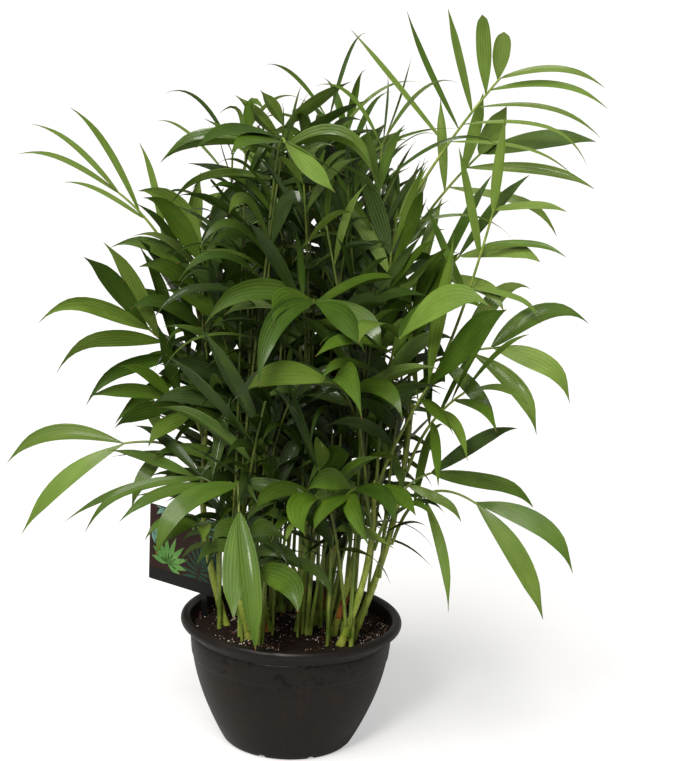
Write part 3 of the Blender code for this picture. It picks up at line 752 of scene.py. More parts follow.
def carried(tree, name):
    """A number that the points of a piece carry."""
    return put(tree, "ShaderNodeAttribute", {"attribute_name": name}).outputs["Fac"]


def make_plant_skin_group():
    """Stem and stalk skin: fine lengthwise streaks, paler bloom, small marks, and painted shade in the crown.
    """
    tree = bpy.data.node_groups.new("plant_skin", "ShaderNodeTree")
    given, result = sockets(
        tree,
        [
            ("Green", "Color", (0.1, 0.2, 0.03, 1.0)),
            ("Pale", "Color", (0.3, 0.35, 0.1, 1.0)),
            ("Mark", "Color", (0.1, 0.04, 0.01, 1.0)),
            ("Marks", "Float", 0.5),
        ],
        FINISH,
    )
    place = put(tree, "ShaderNodeTexCoord").outputs["Object"]
    long_way = put(tree, "ShaderNodeMapping", Vector=place, Scale=(1.0, 1.0, 0.045)).outputs[0]
    streaks = speckle(tree, long_way, 1500.0, 2.0)
    cloud = speckle(tree, place, 55.0, 4.0)
    spots = speckle(tree, place, 420.0, 3.0)
    bloom = ramp(tree, maths(tree, "MULTIPLY", streaks, cloud), 0.15, 0.38)
    skin = blend(tree, bloom, given["Green"], given["Pale"])
    marks = maths(tree, "MULTIPLY", ramp(tree, spots, 0.60, 0.72), given["Marks"])
    marked = blend(tree, marks, skin, given["Mark"])
    # Painted shade: the skin is darkened by the carried shade, down to 0.3 of its colour deep in the crown
    toned = shaded(tree, marked, ramp(tree, carried(tree, "shade"), 0.0, 1.0, 0.30, 1.0))
    tree.links.new(toned, result["Colour"])
    tree.links.new(ramp(tree, cloud, 0.3, 0.7, 0.36, 0.52), result["Roughness"])
    tree.links.new(streaks, result["Height"])
    return tree


plant_skin_group = make_plant_skin_group()


def plant_skin(name, green, pale, mark, marks, bump):
    """The skin of a cane, a stalk or a dead sheath: two tones of one colour, with marks of another."""
    return group_finish(name, plant_skin_group, {"Green": green, "Pale": pale, "Mark": mark, "Marks": marks},
                        bump, 0.0002)


cane_skins = (
    plant_skin("cane_green", (0.130, 0.25, 0.018), (0.34, 0.47, 0.060), (0.13, 0.07, 0.02), 0.35, 0.5),
    plant_skin("cane_yellow", (0.23, 0.33, 0.026), (0.50, 0.56, 0.100), (0.20, 0.09, 0.02), 0.45, 0.5),
)
for skin, name, members in (
    (cane_skins[0], "canes_green", (1, 2, 3, 5, 9, 10)),
    (cane_skins[1], "canes_yellow", (0, 4, 6, 7, 8, 11)),
):
    canes = closed_piece(name, *joined([sheathed_cane(cane) for cane in members]), skin, smooth_under=70)
    # Painted shade on the canes: their skin darkens inside the crown and stays full below it
    shade_attribute(canes.data, [painted_brightness(corner.co) for corner in canes.data.vertices])
    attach(canes, "root")
    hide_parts(*[f"cane_{cane + 1:02d}" for cane in members])


# The old sheaths -------------------------------------------------------------------------------------
# Dead papery sheaths at the foot of some canes, dried to orange and red-brown. Each is a thin shell that
# still wraps part of its cane and is torn along its upper edge.

SHEATH_THICKNESS, SHEATH_PROUD, SHEATH_GAPE = 0.0004, 0.0010, 0.0011
SHEATH_COLUMNS, SHEATH_ROWS = 12, 9
SHORTEST_TOOTH = 0.55
# Cane, its height above the soil, length, azimuth of its middle, degrees wrapped round
OLD_SHEATHS = (
    (1, 0.000, 0.046, 215, 110), (3, 0.000, 0.026, 330, 120), (9, 0.000, 0.056, 335, 120),
    (5, 0.012, 0.050, 240, 110), (8, 0.004, 0.022, 200, 100), (4, 0.016, 0.034, 260, 130),
    (6, 0.022, 0.030, 290, 120), (3, 0.030, 0.026, 250, 110),
)


def torn_sheath(number, cane, start, length, azimuth, wrap):
    """A thin shell round part of a cane, which gapes further the higher it goes and has a torn edge."""
    draw = random.Random(300 + number)
    columns, rows = SHEATH_COLUMNS, SHEATH_ROWS
    height = CANES[cane][4]
    teeth = [draw.uniform(SHORTEST_TOOTH, 1.0) for _ in range(columns + 1)]
    points = []
    for proud in (SHEATH_PROUD, SHEATH_PROUD - SHEATH_THICKNESS):
        for row in range(rows + 1):
            for column in range(columns + 1):
                share = (start + row / rows * teeth[column] * length) / height
                lift = proud + SHEATH_GAPE * (row / rows) ** 2 * (0.5 + abs(column / columns - 0.5))
                turn = azimuth + wrap * (column / columns - 0.5)
                bare = cane_radius(cane, share) * CANE_BARE
                points.append(cane_curve(cane, share) + towards(turn, 0) * (bare + lift))
    count = (rows + 1) * (columns + 1)
    faces = []
    for row in range(rows):
        for column in range(columns):
            a = row * (columns + 1) + column
            b, c, d = a + 1, a + columns + 2, a + columns + 1
            faces += [(a, b, c, d), (count + d, count + c, count + b, count + a)]
    rim = list(range(columns + 1))
    rim += [(row + 1) * (columns + 1) - 1 for row in range(1, rows + 1)]
    rim += [rows * (columns + 1) + column for column in reversed(range(columns))]
    rim += [row * (columns + 1) for row in reversed(range(1, rows))]
    for a, b in zip(rim, rim[1:] + rim[:1]):
        faces.append((a, count + a, count + b, b))
    return points, faces


dead_sheath = plant_skin(
    "dead_sheath", (0.14, 0.038, 0.010), (0.48, 0.165, 0.036), (0.030, 0.012, 0.008), 0.5, 1.0
)
old_sheaths = closed_piece(
    "old_sheaths", *joined([torn_sheath(k, *sheath) for k, sheath in enumerate(OLD_SHEATHS)]), dead_sheath,
    smooth_under=50)
# The dead sheaths take no painted shade: they are fully bright everywhere
shade_attribute(old_sheaths.data, [1.0] * len(old_sheaths.data.vertices))
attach(old_sheaths, "root")


# The fronds ------------------------------------------------------------------------------------------
# Each frond leaves its cane on a bare green stalk that arches outwards and becomes a rib, with a row of
# thin pleated leaflets on either side and a pair at its end. They grow from their canes, joined to them.

RIB_STEPS, RIB_STRIDE = 24, 4
STALK_RADIUS, RIB_END_RADIUS = 0.0019, 0.0012
LEAF_STEPS = 15
LEAF_ROOT_HALF, ROOT_TAPER = 0.0006, 0.75
LEAF_SWELL = 0.10
# Shares of the length where a blunt leaflet is widest, and where a pointed one thins out to its tip
BLUNT_WIDEST, BLUNT_REST = 0.6, 0.4
TIP_FROM, TIP_OVER, TIP_THINNING = 0.76, 0.16, 0.45
DROOP_POWER = 1.8
# A rib or leaflet that would touch something was turned in tries like these, each leaflet also shortened
RIB_TRIES, LEAF_TRIES = 15, 9
TRY_TURN = math.radians(7)
LEAF_SHRINK = 0.04
SAME_TIP = 0.0001
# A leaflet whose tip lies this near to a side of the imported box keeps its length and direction
EDGE = 0.006
# How much freely grown leaflets hook down at the tip, sway sideways, curl and twist
HOOK, HOOK_RARITY, HOOK_POWER = 1.7, 1.4, 1.5
HOOK_FROM, HOOK_OVER = 0.55, 0.45
SWAY, CURL_BACK, CURL_DOWN, TWIST = 0.20, -0.15, 0.95, 0.75
# Freedom to do so and range of lengths: young leaflets and the fill's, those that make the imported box, those
# before the canes, and the other leading ones
FREE_MOVE, BOX_MOVE = (1.0, (0.80, 1.0)), (0.1, (1.0, 1.0))
FRONT_MOVE, LEADING_MOVE = (1.5, (0.74, 1.04)), (0.5, (1.0, 1.06))
# Width of the leading fronds' leaflets and the fill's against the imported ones, and two ranges of outline
SLIM_LEADING, SLIM_FILL = (0.80, 1.0), (0.50, 0.90)
LEAD, TAPER = (0.82, 1.08), (0.80, 1.15)
# Where the end pair stands, how far its two sides are apart, and how far those of the other pairs are
END_PLACE, END_STAGGER, STAGGER = 0.96, 0.03, 0.35
# How far a cane reaches from its middle, how many points of a leaflet are its root, and how far off it keeps
CANE_REACH, ROOT_POINTS, LEAF_CLEARANCE = 0.30, 2, 0.0003
KEEN_EDGE = 0.9
GOLDEN_ANGLE = 137.5


def frond(cane, share, tip, rise, **other):
    """What shapes a frond: where it leaves its cane, where its rib ends, and how it carries its leaflets.

    Its leaf lengths, opening angles and droop are given once for both sides of the rib or once for each.
    Face lays its leaflets level, and show turns them to face outwards. A loose frond may turn about its
    cane to match its imported solid. Apart is how far beside its cane a sucker's stalk comes out of the soil.
    """
    made = {
        "cane": cane - 1,
        "share": share,
        "tip": Vector(tip),
        "rise": rise,
        "pull": 0.25,
        "roll": 0.0,
        "pairs": 5,
        "bare": 0.5,
        "leaf": (0.130, 0.130),
        "wide": (0.020, 0.028),
        "open": (68, 26),
        "lift": 10,
        "droop": 0.5,
        "face": 0.5,
        "show": 0.0,
        "loose": False,
        "apart": 0.0,
    }
    made.update(other)
    for key in ("leaf", "open"):
        if not isinstance(made[key][0], tuple):
            made[key] = (made[key], made[key])
    if not isinstance(made["droop"], tuple):
        made["droop"] = (made["droop"], made["droop"])
    return made


# Leading fronds, which make the plant's outline. Cane, share of its height, rib end, rise of the arch.
LEADING = [
    # The tall feather at the upper right, and the paler one behind it
    frond(5, 0.97, (0.192, 0.000, 0.726), 0.14, pull=0.2, roll=88, bare=0.74,
          leaf=((0.148, 0.048), (0.135, 0.112)), wide=(0.010, 0.018), open=((74, 32), (54, 37)), lift=0,
          droop=(0.1, 0.95), face=0.6),
    frond(6, 0.97, (0.182, 0.060, 0.642), 0.13, roll=80, bare=0.78, pairs=3,
          leaf=((0.095, 0.058), (0.130, 0.125)), wide=(0.012, 0.024), open=((42, 12), (58, 30)), lift=0,
          droop=(0.1, 0.45), face=0.3),
    # Below them on the right, from the top down
    frond(9, 0.97, (0.188, -0.060, 0.600), 0.05, pull=0.45, roll=80, bare=0.68, pairs=3,
          leaf=((0.100, 0.097), (0.085, 0.075)), wide=(0.012, 0.015), open=((45, 8), (78, 62)), lift=0,
          droop=(0.1, 0.6)),
    frond(5, 0.80, (0.160, -0.020, 0.545), 0.06, roll=40, pairs=4, leaf=(0.115, 0.112),
          wide=(0.016, 0.024), open=((56, 12), (60, 32)), droop=0.4),
    frond(8, 0.97, (0.128, -0.120, 0.430), 0.05, roll=60, bare=0.85, pairs=2, leaf=(0.110, 0.150),
          wide=(0.014, 0.040), open=((62, 27), (62, 14)), lift=5, droop=0.3, face=0.1),
    frond(7, 0.80, (0.095, -0.140, 0.480), 0.08, roll=20, bare=0.6, pairs=3, leaf=(0.120, 0.110),
          wide=(0.022, 0.030), open=(65, 34), droop=(1.2, 1.0), face=0.2, show=0.5),
    frond(7, 0.95, (0.197, -0.050, 0.455), 0.07, roll=60, bare=0.6, pairs=3,
          leaf=((0.090, 0.113), (0.100, 0.103)), wide=(0.018, 0.029), open=((60, 33), (62, 21)),
          droop=(1.25, 1.2), face=0.2),
    frond(9, 0.72, (0.165, -0.100, 0.418), 0.06, roll=50, pairs=4, leaf=((0.110, 0.095), (0.112, 0.115)),
          wide=(0.012, 0.014), open=(70, 22), droop=0.7),
    frond(9, 0.42, (0.187, -0.080, 0.296), 0.09, roll=70, pairs=2, bare=0.35,
          leaf=((0.100, 0.130), (0.120, 0.132)), wide=(0.012, 0.022), open=((42, 18), (92, 19)),
          droop=(1.3, 1.9), face=0.2),
    frond(8, 0.60, (0.140, -0.060, 0.322), 0.072, roll=75, bare=0.6, pairs=2,
          leaf=((0.070, 0.100), (0.080, 0.114)), wide=(0.012, 0.018), open=((60, 14), (60, 29)), lift=0,
          droop=0.2, face=0.2),
    # On the left, from the bottom up
    frond(1, 0.80, (-0.186, 0.000, 0.325), 0.035, roll=-60, bare=0.5, pairs=2, leaf=(0.080, 0.142),
          wide=(0.018, 0.021), open=(60, 22), droop=1.4, face=0.2),
    frond(12, 0.75, (-0.105, -0.060, 0.308), 0.05, roll=-50, bare=0.6, pairs=3,
          leaf=((0.110, 0.150), (0.090, 0.105)), wide=(0.014, 0.018), open=(55, 16), droop=(1.0, 0.5)),
    frond(10, 0.85, (-0.160, -0.020, 0.455), 0.045, pull=0.4, roll=-85, bare=0.45, pairs=4,
          leaf=((0.110, 0.148), (0.105, 0.118)), wide=(0.019, 0.023), open=((55, 13), (48, 12)), lift=0,
          droop=0.5, face=0.1),
    frond(1, 0.97, (-0.132, -0.030, 0.384), 0.03, roll=-80, bare=0.45, pairs=3,
          leaf=((0.070, 0.105), (0.085, 0.080)), wide=(0.020, 0.018), open=(60, 12), lift=0, droop=0.5,
          face=0.2),
    frond(10, 0.70, (-0.125, 0.040, 0.510), 0.08, roll=-60, pairs=4, leaf=(0.110, 0.100),
          wide=(0.018, 0.022), open=(60, 20), droop=0.5),
    frond(10, 0.98, (-0.200, 0.050, 0.586), 0.14, pull=0.42, roll=-75, bare=0.52, pairs=3,
          leaf=((0.050, 0.117), (0.110, 0.118)), wide=(0.010, 0.011), open=(24, 7), lift=0, droop=0.7,
          face=0.4),
    # The top, which faces the front
    frond(11, 0.97, (0.040, 0.050, 0.600), 0.14, roll=15, bare=0.6, pairs=5,
          leaf=((0.120, 0.085), (0.120, 0.075)), wide=(0.016, 0.036), open=((62, 24), (62, 12)),
          droop=0.5, face=0.2),
    frond(3, 0.97, (-0.027, -0.030, 0.672), 0.12, roll=5, bare=0.70, pairs=4,
          leaf=((0.110, 0.080), (0.100, 0.045)), wide=(0.012, 0.018), open=((66, 48), (75, 28)),
          droop=(0.3, 0.2), face=0.1),
    frond(2, 0.97, (-0.024, -0.100, 0.662), 0.31, pull=0.5, roll=-10, pairs=4,
          leaf=((0.120, 0.110), (0.125, 0.090)), wide=(0.020, 0.024), open=((66, 8), (88, 72)),
          droop=(2.4, 1.3), face=0.1),
    frond(4, 0.97, (0.010, -0.120, 0.508), 0.12, pairs=4, leaf=(0.130, 0.145), wide=(0.026, 0.024),
          open=(70, 30), droop=(1.2, 1.6), face=0.4, show=0.55),
    frond(7, 0.70, (0.030, -0.150, 0.436), 0.10, pairs=3, leaf=(0.130, 0.145), wide=(0.022, 0.028),
          open=(70, 30), droop=(1.3, 1.9), face=0.4, show=0.55),
    # Low at the front, hanging over the soil
    frond(12, 0.90, (-0.057, -0.120, 0.290), 0.05, pairs=2, leaf=((0.130, 0.135), (0.122, 0.108)),
          wide=(0.024, 0.026), open=(65, 9), droop=1.9, face=0.3, show=0.4),
    frond(4, 0.45, (0.022, -0.120, 0.308), 0.05, pairs=3, leaf=((0.110, 0.095), (0.110, 0.110)),
          wide=(0.024, 0.034), open=((70, 55), (70, 28)), droop=1.9, face=0.3, show=0.5),
    frond(8, 0.75, (0.050, -0.140, 0.318), 0.06, pairs=3, leaf=(0.100, 0.095), wide=(0.022, 0.026),
          open=((70, 35), (70, 8)), droop=1.7, face=0.3, show=0.5),
]

# Fill: fronds whose rib ends are spread by the golden angle over an egg in the crown. Some end further in.
FILL_FRONDS = 20
FILL_LOW, FILL_HIGH = 0.32, 0.585
FILL_MIDDLE, FILL_HALF_HEIGHT = 0.40, 0.28
FILL_RADIUS = 0.125
FILL_INNER, FILL_INNER_EVERY = 0.45, 4
FILL_START = 140
FILL_CROWDING = 0.03
FILL_LOWEST, FILL_HIGHEST = 0.12, 0.9
FILL_RISE = 0.62


def egg_width(height):
    """How wide the egg is at a height, as a share of its widest."""
    return math.sqrt(1 - ((height - FILL_MIDDLE) / FILL_HALF_HEIGHT) ** 2)


def nearest_cane(tip, share, extras):
    """The cane that stands nearest to a rib's end at a share of its height, with something added for each."""
    return min(((cane_point(cane, share) - tip).to_2d().length + extra, cane)
               for cane, extra in enumerate(extras))[1]


def fill_fronds():
    """The fronds that crowd the middle, the back and the sides, each one on the cane nearest to its end."""
    draw = random.Random(11)
    used = [0.0] * len(CANES)
    made = []
    for k in range(FILL_FRONDS):
        height = mix(FILL_LOW, FILL_HIGH, (k + 0.5) / FILL_FRONDS)
        azimuth = FILL_START + GOLDEN_ANGLE * k + draw.uniform(-10, 10)
        radius = FILL_RADIUS * egg_width(height)
        if k % FILL_INNER_EVERY == FILL_INNER_EVERY - 1:
            radius *= FILL_INNER
        tip = towards(azimuth, 0) * radius + UP * height
        cane = nearest_cane(tip, 0.8, used)
        used[cane] += FILL_CROWDING
        share = (height - SOIL_LEVEL - draw.uniform(0.13, 0.20)) / CANES[cane][4]
        share = min(max(share, FILL_LOWEST), FILL_HIGHEST)
        rise = FILL_RISE * (height - cane_point(cane, share).z)
        roll = draw.uniform(-30, 30)
        leaf = (draw.uniform(0.12, 0.14), draw.uniform(0.11, 0.13))
        droop = draw.uniform(0.5, 1.1)
        wide = (draw.uniform(0.022, 0.028), draw.uniform(0.028, 0.034))
        made.append(
            frond(cane + 1, share, tip, rise, pull=0.3, roll=roll, pairs=6, bare=0.42, leaf=leaf, wide=wide,
                  droop=droop, loose=True)
        )
    return made


# Young: slimmer fronds on long thin stalks, inside the crown that the others make. Every second one is a
# sucker, whose own stalk rises out of the soil beside a cane, thicker or thinner than the others.
YOUNG_FRONDS = 76
YOUNG_LOW, YOUNG_HIGH = 0.24, 0.60
YOUNG_RADIUS = 0.120
YOUNG_RISE = 0.70
YOUNG_STALK = 0.84
SUCKER_EVERY, SUCKER_DEPTH, SUCKER_FOOT, SUCKER_STALK = 2, 0.005, 0.002, (0.75, 1.55)
CREST_FRONDS = 16
WISP_FRONDS = 7


def young_fronds():
    """The slim fronds and suckers that stand between the others and darken the middle of the crown."""
    draw = random.Random(23)
    made = []
    for k in range(YOUNG_FRONDS):
        height = mix(YOUNG_LOW, YOUNG_HIGH, (k + 0.5) / YOUNG_FRONDS)
        azimuth = 40 + GOLDEN_ANGLE * k + draw.uniform(-12, 12)
        radius = YOUNG_RADIUS * egg_width(height) * draw.uniform(0.30, 1.0)
        tip = towards(azimuth, 0) * radius + UP * height
        cane = nearest_cane(tip, 0.6, [draw.uniform(0.0, 0.05) for _ in CANES])
        sucker = k % SUCKER_EVERY == 0
        share = 0.0 if sucker else draw.uniform(0.03, 0.17)
        rise = YOUNG_RISE * (height - cane_point(cane, share).z)
        made.append(
            frond(cane + 1, share, tip, rise, pull=0.25, roll=draw.uniform(-60, 60), pairs=5,
                  bare=draw.uniform(0.50, 0.66), leaf=(draw.uniform(0.095, 0.140), draw.uniform(0.09, 0.13)),
                  wide=(draw.uniform(0.006, 0.011), draw.uniform(0.009, 0.017)), droop=draw.uniform(0.2, 2.2),
                  face=draw.uniform(0.1, 0.6), show=draw.uniform(0.0, 0.7),
                  apart=draw.uniform(0.001, 0.008) if sucker else 0.0)
        )
    return made


def crest_fronds():
    """The slimmest fronds, which stand up out of the top of the crown."""
    draw = random.Random(37)
    made = []
    for k in range(CREST_FRONDS):
        azimuth = GOLDEN_ANGLE * k
        tip = towards(azimuth, 0) * draw.uniform(0.02, 0.11) + Vector((0.01, 0.0, draw.uniform(0.565, 0.665)))
        cane = nearest_cane(tip, 0.9, [draw.uniform(0.0, 0.04) for _ in CANES])
        made.append(
            frond(cane + 1, draw.uniform(0.70, 0.95), tip, draw.uniform(0.10, 0.15), pull=0.2,
                  roll=draw.uniform(-70, 70), pairs=4, bare=0.64, leaf=(0.105, 0.080),
                  wide=(draw.uniform(0.006, 0.009), draw.uniform(0.008, 0.013)), open=(48, 12), lift=16,
                  droop=draw.uniform(0.1, 2.0), face=0.2, show=draw.uniform(0.0, 0.6))
        )
    return made


def wisp_fronds():
    """The last fronds out of the crest, with leaflets as long and thin as straw that arch over the rest."""
    draw = random.Random(59)
    made = []
    for k in range(WISP_FRONDS):
        azimuth = 60 + GOLDEN_ANGLE * k
        tip = towards(azimuth, 0) * draw.uniform(0.02, 0.10) + UP * draw.uniform(0.60, 0.68)
        cane = nearest_cane(tip, 0.9, [0.0] * len(CANES))
        made.append(
            frond(cane + 1, 0.96, tip, draw.uniform(0.10, 0.15), pull=0.2, roll=draw.uniform(-40, 40),
                  pairs=3, bare=0.66, leaf=(draw.uniform(0.12, 0.16), 0.11), wide=(0.0036, 0.0046),
                  open=(66, 26), lift=8, droop=draw.uniform(0.5, 1.1), face=0.2)
        )
    return made


# Hanging: small fronds low at the front, which hang before the canes
HANGING = [
    frond(12, 0.30, (-0.048, -0.118, 0.262), 0.05, pairs=2, bare=0.55, leaf=(0.080, 0.085),
          wide=(0.014, 0.020), open=(50, 16), droop=1.9, face=0.3, show=0.6),
    frond(4, 0.22, (-0.036, -0.116, 0.226), 0.05, pairs=2, bare=0.6, leaf=((0.088, 0.096), (0.040, 0.050)),
          wide=(0.012, 0.027), open=((80, 78), (60, 20)), droop=(1.3, 1.2), face=0.3, show=0.8),
    frond(1, 0.35, (-0.100, -0.085, 0.265), 0.05, pairs=3, bare=0.5, leaf=(0.080, 0.080),
          wide=(0.010, 0.016), open=(62, 20), droop=1.5, face=0.3, show=0.4),
    frond(9, 0.30, (0.098, -0.070, 0.275), 0.06, pairs=3, bare=0.5, leaf=(0.070, 0.075),
          wide=(0.008, 0.013), open=(60, 22), droop=1.4, face=0.3, show=0.4),
]


def try_turn(attempt):
    """The turn of each try: none at first, then further and further to one side and the other."""
    return (attempt + 1) // 2 * (1 if attempt % 2 else -1) * TRY_TURN


def rib_line(shape, attempt=0):
    """The stalk and rib as one arch, from just off the cane's side up over its rise and out to its end."""
    cane, share = shape["cane"], shape["share"]
    on_cane = cane_point(cane, share)
    tip = on_cane + Matrix.Rotation(try_turn(attempt), 3, "Z") @ (shape["tip"] - on_cane)
    out = Vector((tip.x - on_cane.x, tip.y - on_cane.y, 0.0))
    leaving = (UP * shape["rise"] + out * shape["pull"]).normalized()
    spacing = cane_radius(cane, share) + STALK_RADIUS * leaving.z + CLEAR
    start = on_cane + out.normalized() * (spacing + shape["apart"])
    if shape["apart"]:
        start -= UP * SUCKER_DEPTH
    top = start + UP * shape["rise"] + out * shape["pull"]
    line = []
    for k in range(RIB_STEPS + 1):
        t = k / RIB_STEPS
        line.append(start * (1 - t) ** 2 + top * 2 * t * (1 - t) + tip * t * t)
    return line


def leaflets(shape, line):
    """Each leaflet from the lowest pair up: its root, heading, across, length, width, droop and place."""
    found = []
    pairs = shape["pairs"]
    out = Vector((line[-1].x - line[0].x, line[-1].y - line[0].y, 0.0)).normalized()
    for pair in range(pairs):
        part = pair / (pairs - 1)
        for hand in (0, 1):
            end = pair == pairs - 1
            stagger = END_PLACE + END_STAGGER * hand - part if end else STAGGER * hand / pairs
            share = shape["bare"] + (1 - shape["bare"]) * (part + stagger)
            place = share * RIB_STEPS / RIB_STRIDE
            k = min(int(place), RIB_STEPS // RIB_STRIDE - 1)
            low, high = line[k * RIB_STRIDE], line[(k + 1) * RIB_STRIDE]
            along = (high - low).normalized()
            level = along.cross(UP).normalized()
            beside = Matrix.Rotation(math.radians(shape["roll"]), 3, along) @ level
            above = beside.cross(along)
            opened = math.radians(mix(*shape["open"][hand], part))
            lift = math.radians(shape["lift"])
            sideways = beside * (2 * hand - 1) * math.cos(lift) + above * math.sin(lift)
            heading = (along * math.cos(opened) + sideways * math.sin(opened)).normalized()
            flat = above.cross(heading).normalized() * (1 - shape["face"]) + UP.cross(heading) * shape["face"]
            across = flat * (1 - shape["show"]) + out.cross(heading) * shape["show"]
            length = mix(*shape["leaf"][hand], part) * (1 + LEAF_SWELL * math.sin(math.pi * part))
            root = low.lerp(high, place - k)
            wide = mix(*shape["wide"], part**2)
            found.append((root, heading, across.normalized(), length, wide, shape["droop"][hand], share))
    return found


def leaf_line(leaf, attempt=0):
    """Centre points and across directions of a leaflet, which bends down further the nearer its tip."""
    root, heading, across, length, _, droop, _ = leaf
    heading = Matrix.Rotation(try_turn(attempt), 3, across) @ heading
    length = length * (1 - LEAF_SHRINK * attempt)
    points, acrosses = [root.copy()], []
    for step in range(LEAF_STEPS):
        share = (step + 0.5) / LEAF_STEPS
        way = (heading - UP * droop * share**DROOP_POWER).normalized()
        across = (across - way * across.dot(way)).normalized()
        acrosses.append(across)
        points.append(points[-1] + way * length / LEAF_STEPS)
    acrosses.append(across)
    return points, acrosses


def leaf_half_width(share, wide, lead, taper, blunt):
    """Half a leaflet's width: a narrow root, widest about its middle, and a drawn-out or a blunt tip."""
    if blunt:
        swell = math.sin(math.pi / 2 * min(share / BLUNT_WIDEST, 1.0))
        swell *= math.sqrt(1 - min(max(share - BLUNT_WIDEST, 0.0) / BLUNT_REST, 1.0) ** 3)
    else:
        swell = math.sin(math.pi * min(share, 0.999) ** lead) ** taper
        swell *= 1 - TIP_THINNING * min(max((share - TIP_FROM) / TIP_OVER, 0.0), 1.0)
    return max(LEAF_ROOT_HALF * (1 - ROOT_TAPER * share), 0.5 * wide * swell)


def settled(line, draw, freedom, lengths):
    """A leaflet's line with its own length, sweep, curl and twist, and a tip that hooks downwards."""
    centres, acrosses = line
    kept = draw.uniform(*lengths)
    level = 1 - max(0.0, (centres[1] - centres[0]).normalized().z)
    hook = HOOK * min(2 * freedom, 1.0) * draw.random() ** HOOK_RARITY * level**HOOK_POWER
    sway = draw.uniform(-SWAY, SWAY) * freedom
    curl = draw.uniform(CURL_BACK, CURL_DOWN) * freedom
    twist = draw.uniform(-TWIST, TWIST) * freedom
    points, turned = [centres[0]], []
    for k in range(LEAF_STEPS):
        share = (k + 0.5) / LEAF_STEPS
        way = centres[k + 1] - centres[k]
        above = acrosses[k].cross(way).normalized()
        down = 1 if above.z < 0 else -1
        bend = Matrix.Rotation(sway * share, 3, above)
        bend = bend @ Matrix.Rotation(down * -curl * share**2, 3, acrosses[k])
        fall = hook * max(0.0, (share - HOOK_FROM) / HOOK_OVER) ** HOOK_POWER
        heading = ((bend @ way).normalized() - UP * fall).normalized()
        across = bend @ acrosses[k]
        across = (across - heading * across.dot(heading)).normalized()
        turned.append(Matrix.Rotation(twist * share, 3, heading) @ across)
        points.append(points[-1] + heading * way.length * kept)
    turned.append(turned[-1])
    return points, turned


def furthest(tip):
    """Whether a tip lies where the plant reaches furthest to a side, to the front, to the back or up."""
    return any(tip[k] < packed_box[0][k] + EDGE or tip[k] > packed_box[1][k] - EDGE for k in range(3))


def nearest_in(node):
    """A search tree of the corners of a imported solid."""
    corners = nodes[node].data.vertices
    tree = KDTree(len(corners))
    for k, corner in enumerate(corners):
        tree.insert(corner.co, k)
    tree.balance()
    return tree


class Room:
    """What already fills the crown: the canes, then the leaflets as they are added."""

    def __init__(self):
        self.taken = []
        for number in range(len(CANES)):
            mesh = nodes[f"cane_{number + 1:02d}"].data
            corners = [corner.co.copy() for corner in mesh.vertices]
            cane = BVHTree.FromPolygons(corners, [tuple(face.vertices) for face in mesh.polygons])
            self.taken.append((cane_point(number, 0.5), CANE_REACH, cane))

    def blade(self, centres, acrosses, halves):
        """A leaflet without its root, as what it takes up: its middle, its reach and a search tree."""
        points, faces = [], []
        for k in range(ROOT_POINTS, LEAF_STEPS + 1):
            half = halves[k] + LEAF_CLEARANCE
            points += [centres[k] + acrosses[k] * half, centres[k], centres[k] - acrosses[k] * half]
        for row in range(len(points) // 3 - 1):
            a = row * 3
            faces += [(a, a + 1, a + 4, a + 3), (a + 1, a + 2, a + 5, a + 4)]
        middle = centres[LEAF_STEPS // 2]
        reach = max((point - middle).length for point in points)
        return middle, reach, BVHTree.FromPolygons(points, faces)

    def fits(self, blade):
        """Whether a leaflet touches nothing that is there already."""
        middle, reach, tree = blade
        return not any((middle - there).length < reach + far and tree.overlap(other)
                       for there, far, other in self.taken)


def grown_frond(number, shape, room):
    """The rib and leaflets of one frond. A packed frond keeps the turns that its solid shows."""
    draw = random.Random(f"frond {number}")
    packed, leading = number < LEADING_AND_FILL, number < len(LEADING)
    line, solid = rib_line(shape), None
    if packed:
        solid = nearest_in(f"frond_{number + 1:02d}")
        tries = [rib_line(shape, attempt) for attempt in range(RIB_TRIES if shape["loose"] else 1)]
        line = min(tries, key=lambda tried: solid.find(tried[-1])[2])
    blades = []
    for order, leaf in enumerate(leaflets(shape, line)):
        slim = draw.uniform(*SLIM_LEADING) if leading else draw.uniform(*SLIM_FILL) if packed else 1.0
        lead, taper = draw.uniform(*LEAD), draw.uniform(*TAPER)
        blunt = (number, order) in BLUNT_LEAFLETS
        if number in STRAP_FRONDS:
            taper *= STRAP_TAPER
        if number in FEATHER_FRONDS:
            slim *= BLUNT_WIDER if blunt else FEATHER_SLIMMER
        halves = [leaf_half_width(k / LEAF_STEPS, leaf[4] * slim, lead, taper, blunt)
                  for k in range(LEAF_STEPS + 1)]
        for attempt in range(LEAF_TRIES):
            centres, acrosses = leaf_line(leaf, attempt)
            if packed and solid.find(centres[-1])[2] > SAME_TIP:
                continue
            smooth = leaf[6] * RIB_STEPS
            k = min(int(smooth), RIB_STEPS - 1)
            centres[0] = line[k].lerp(line[k + 1], smooth - k)
            move = FREE_MOVE
            if packed and furthest(centres[-1]):
                move = BOX_MOVE
            elif number in FRONT_FRONDS:
                move = FRONT_MOVE
            elif leading:
                move = LEADING_MOVE
            centres, acrosses = settled((centres, acrosses), draw, *move)
            blade = room.blade(centres, acrosses, halves)
            if packed or room.fits(blade):
                room.taken.append(blade)
                blades.append((centres, acrosses, halves))
                break
    return line, blades


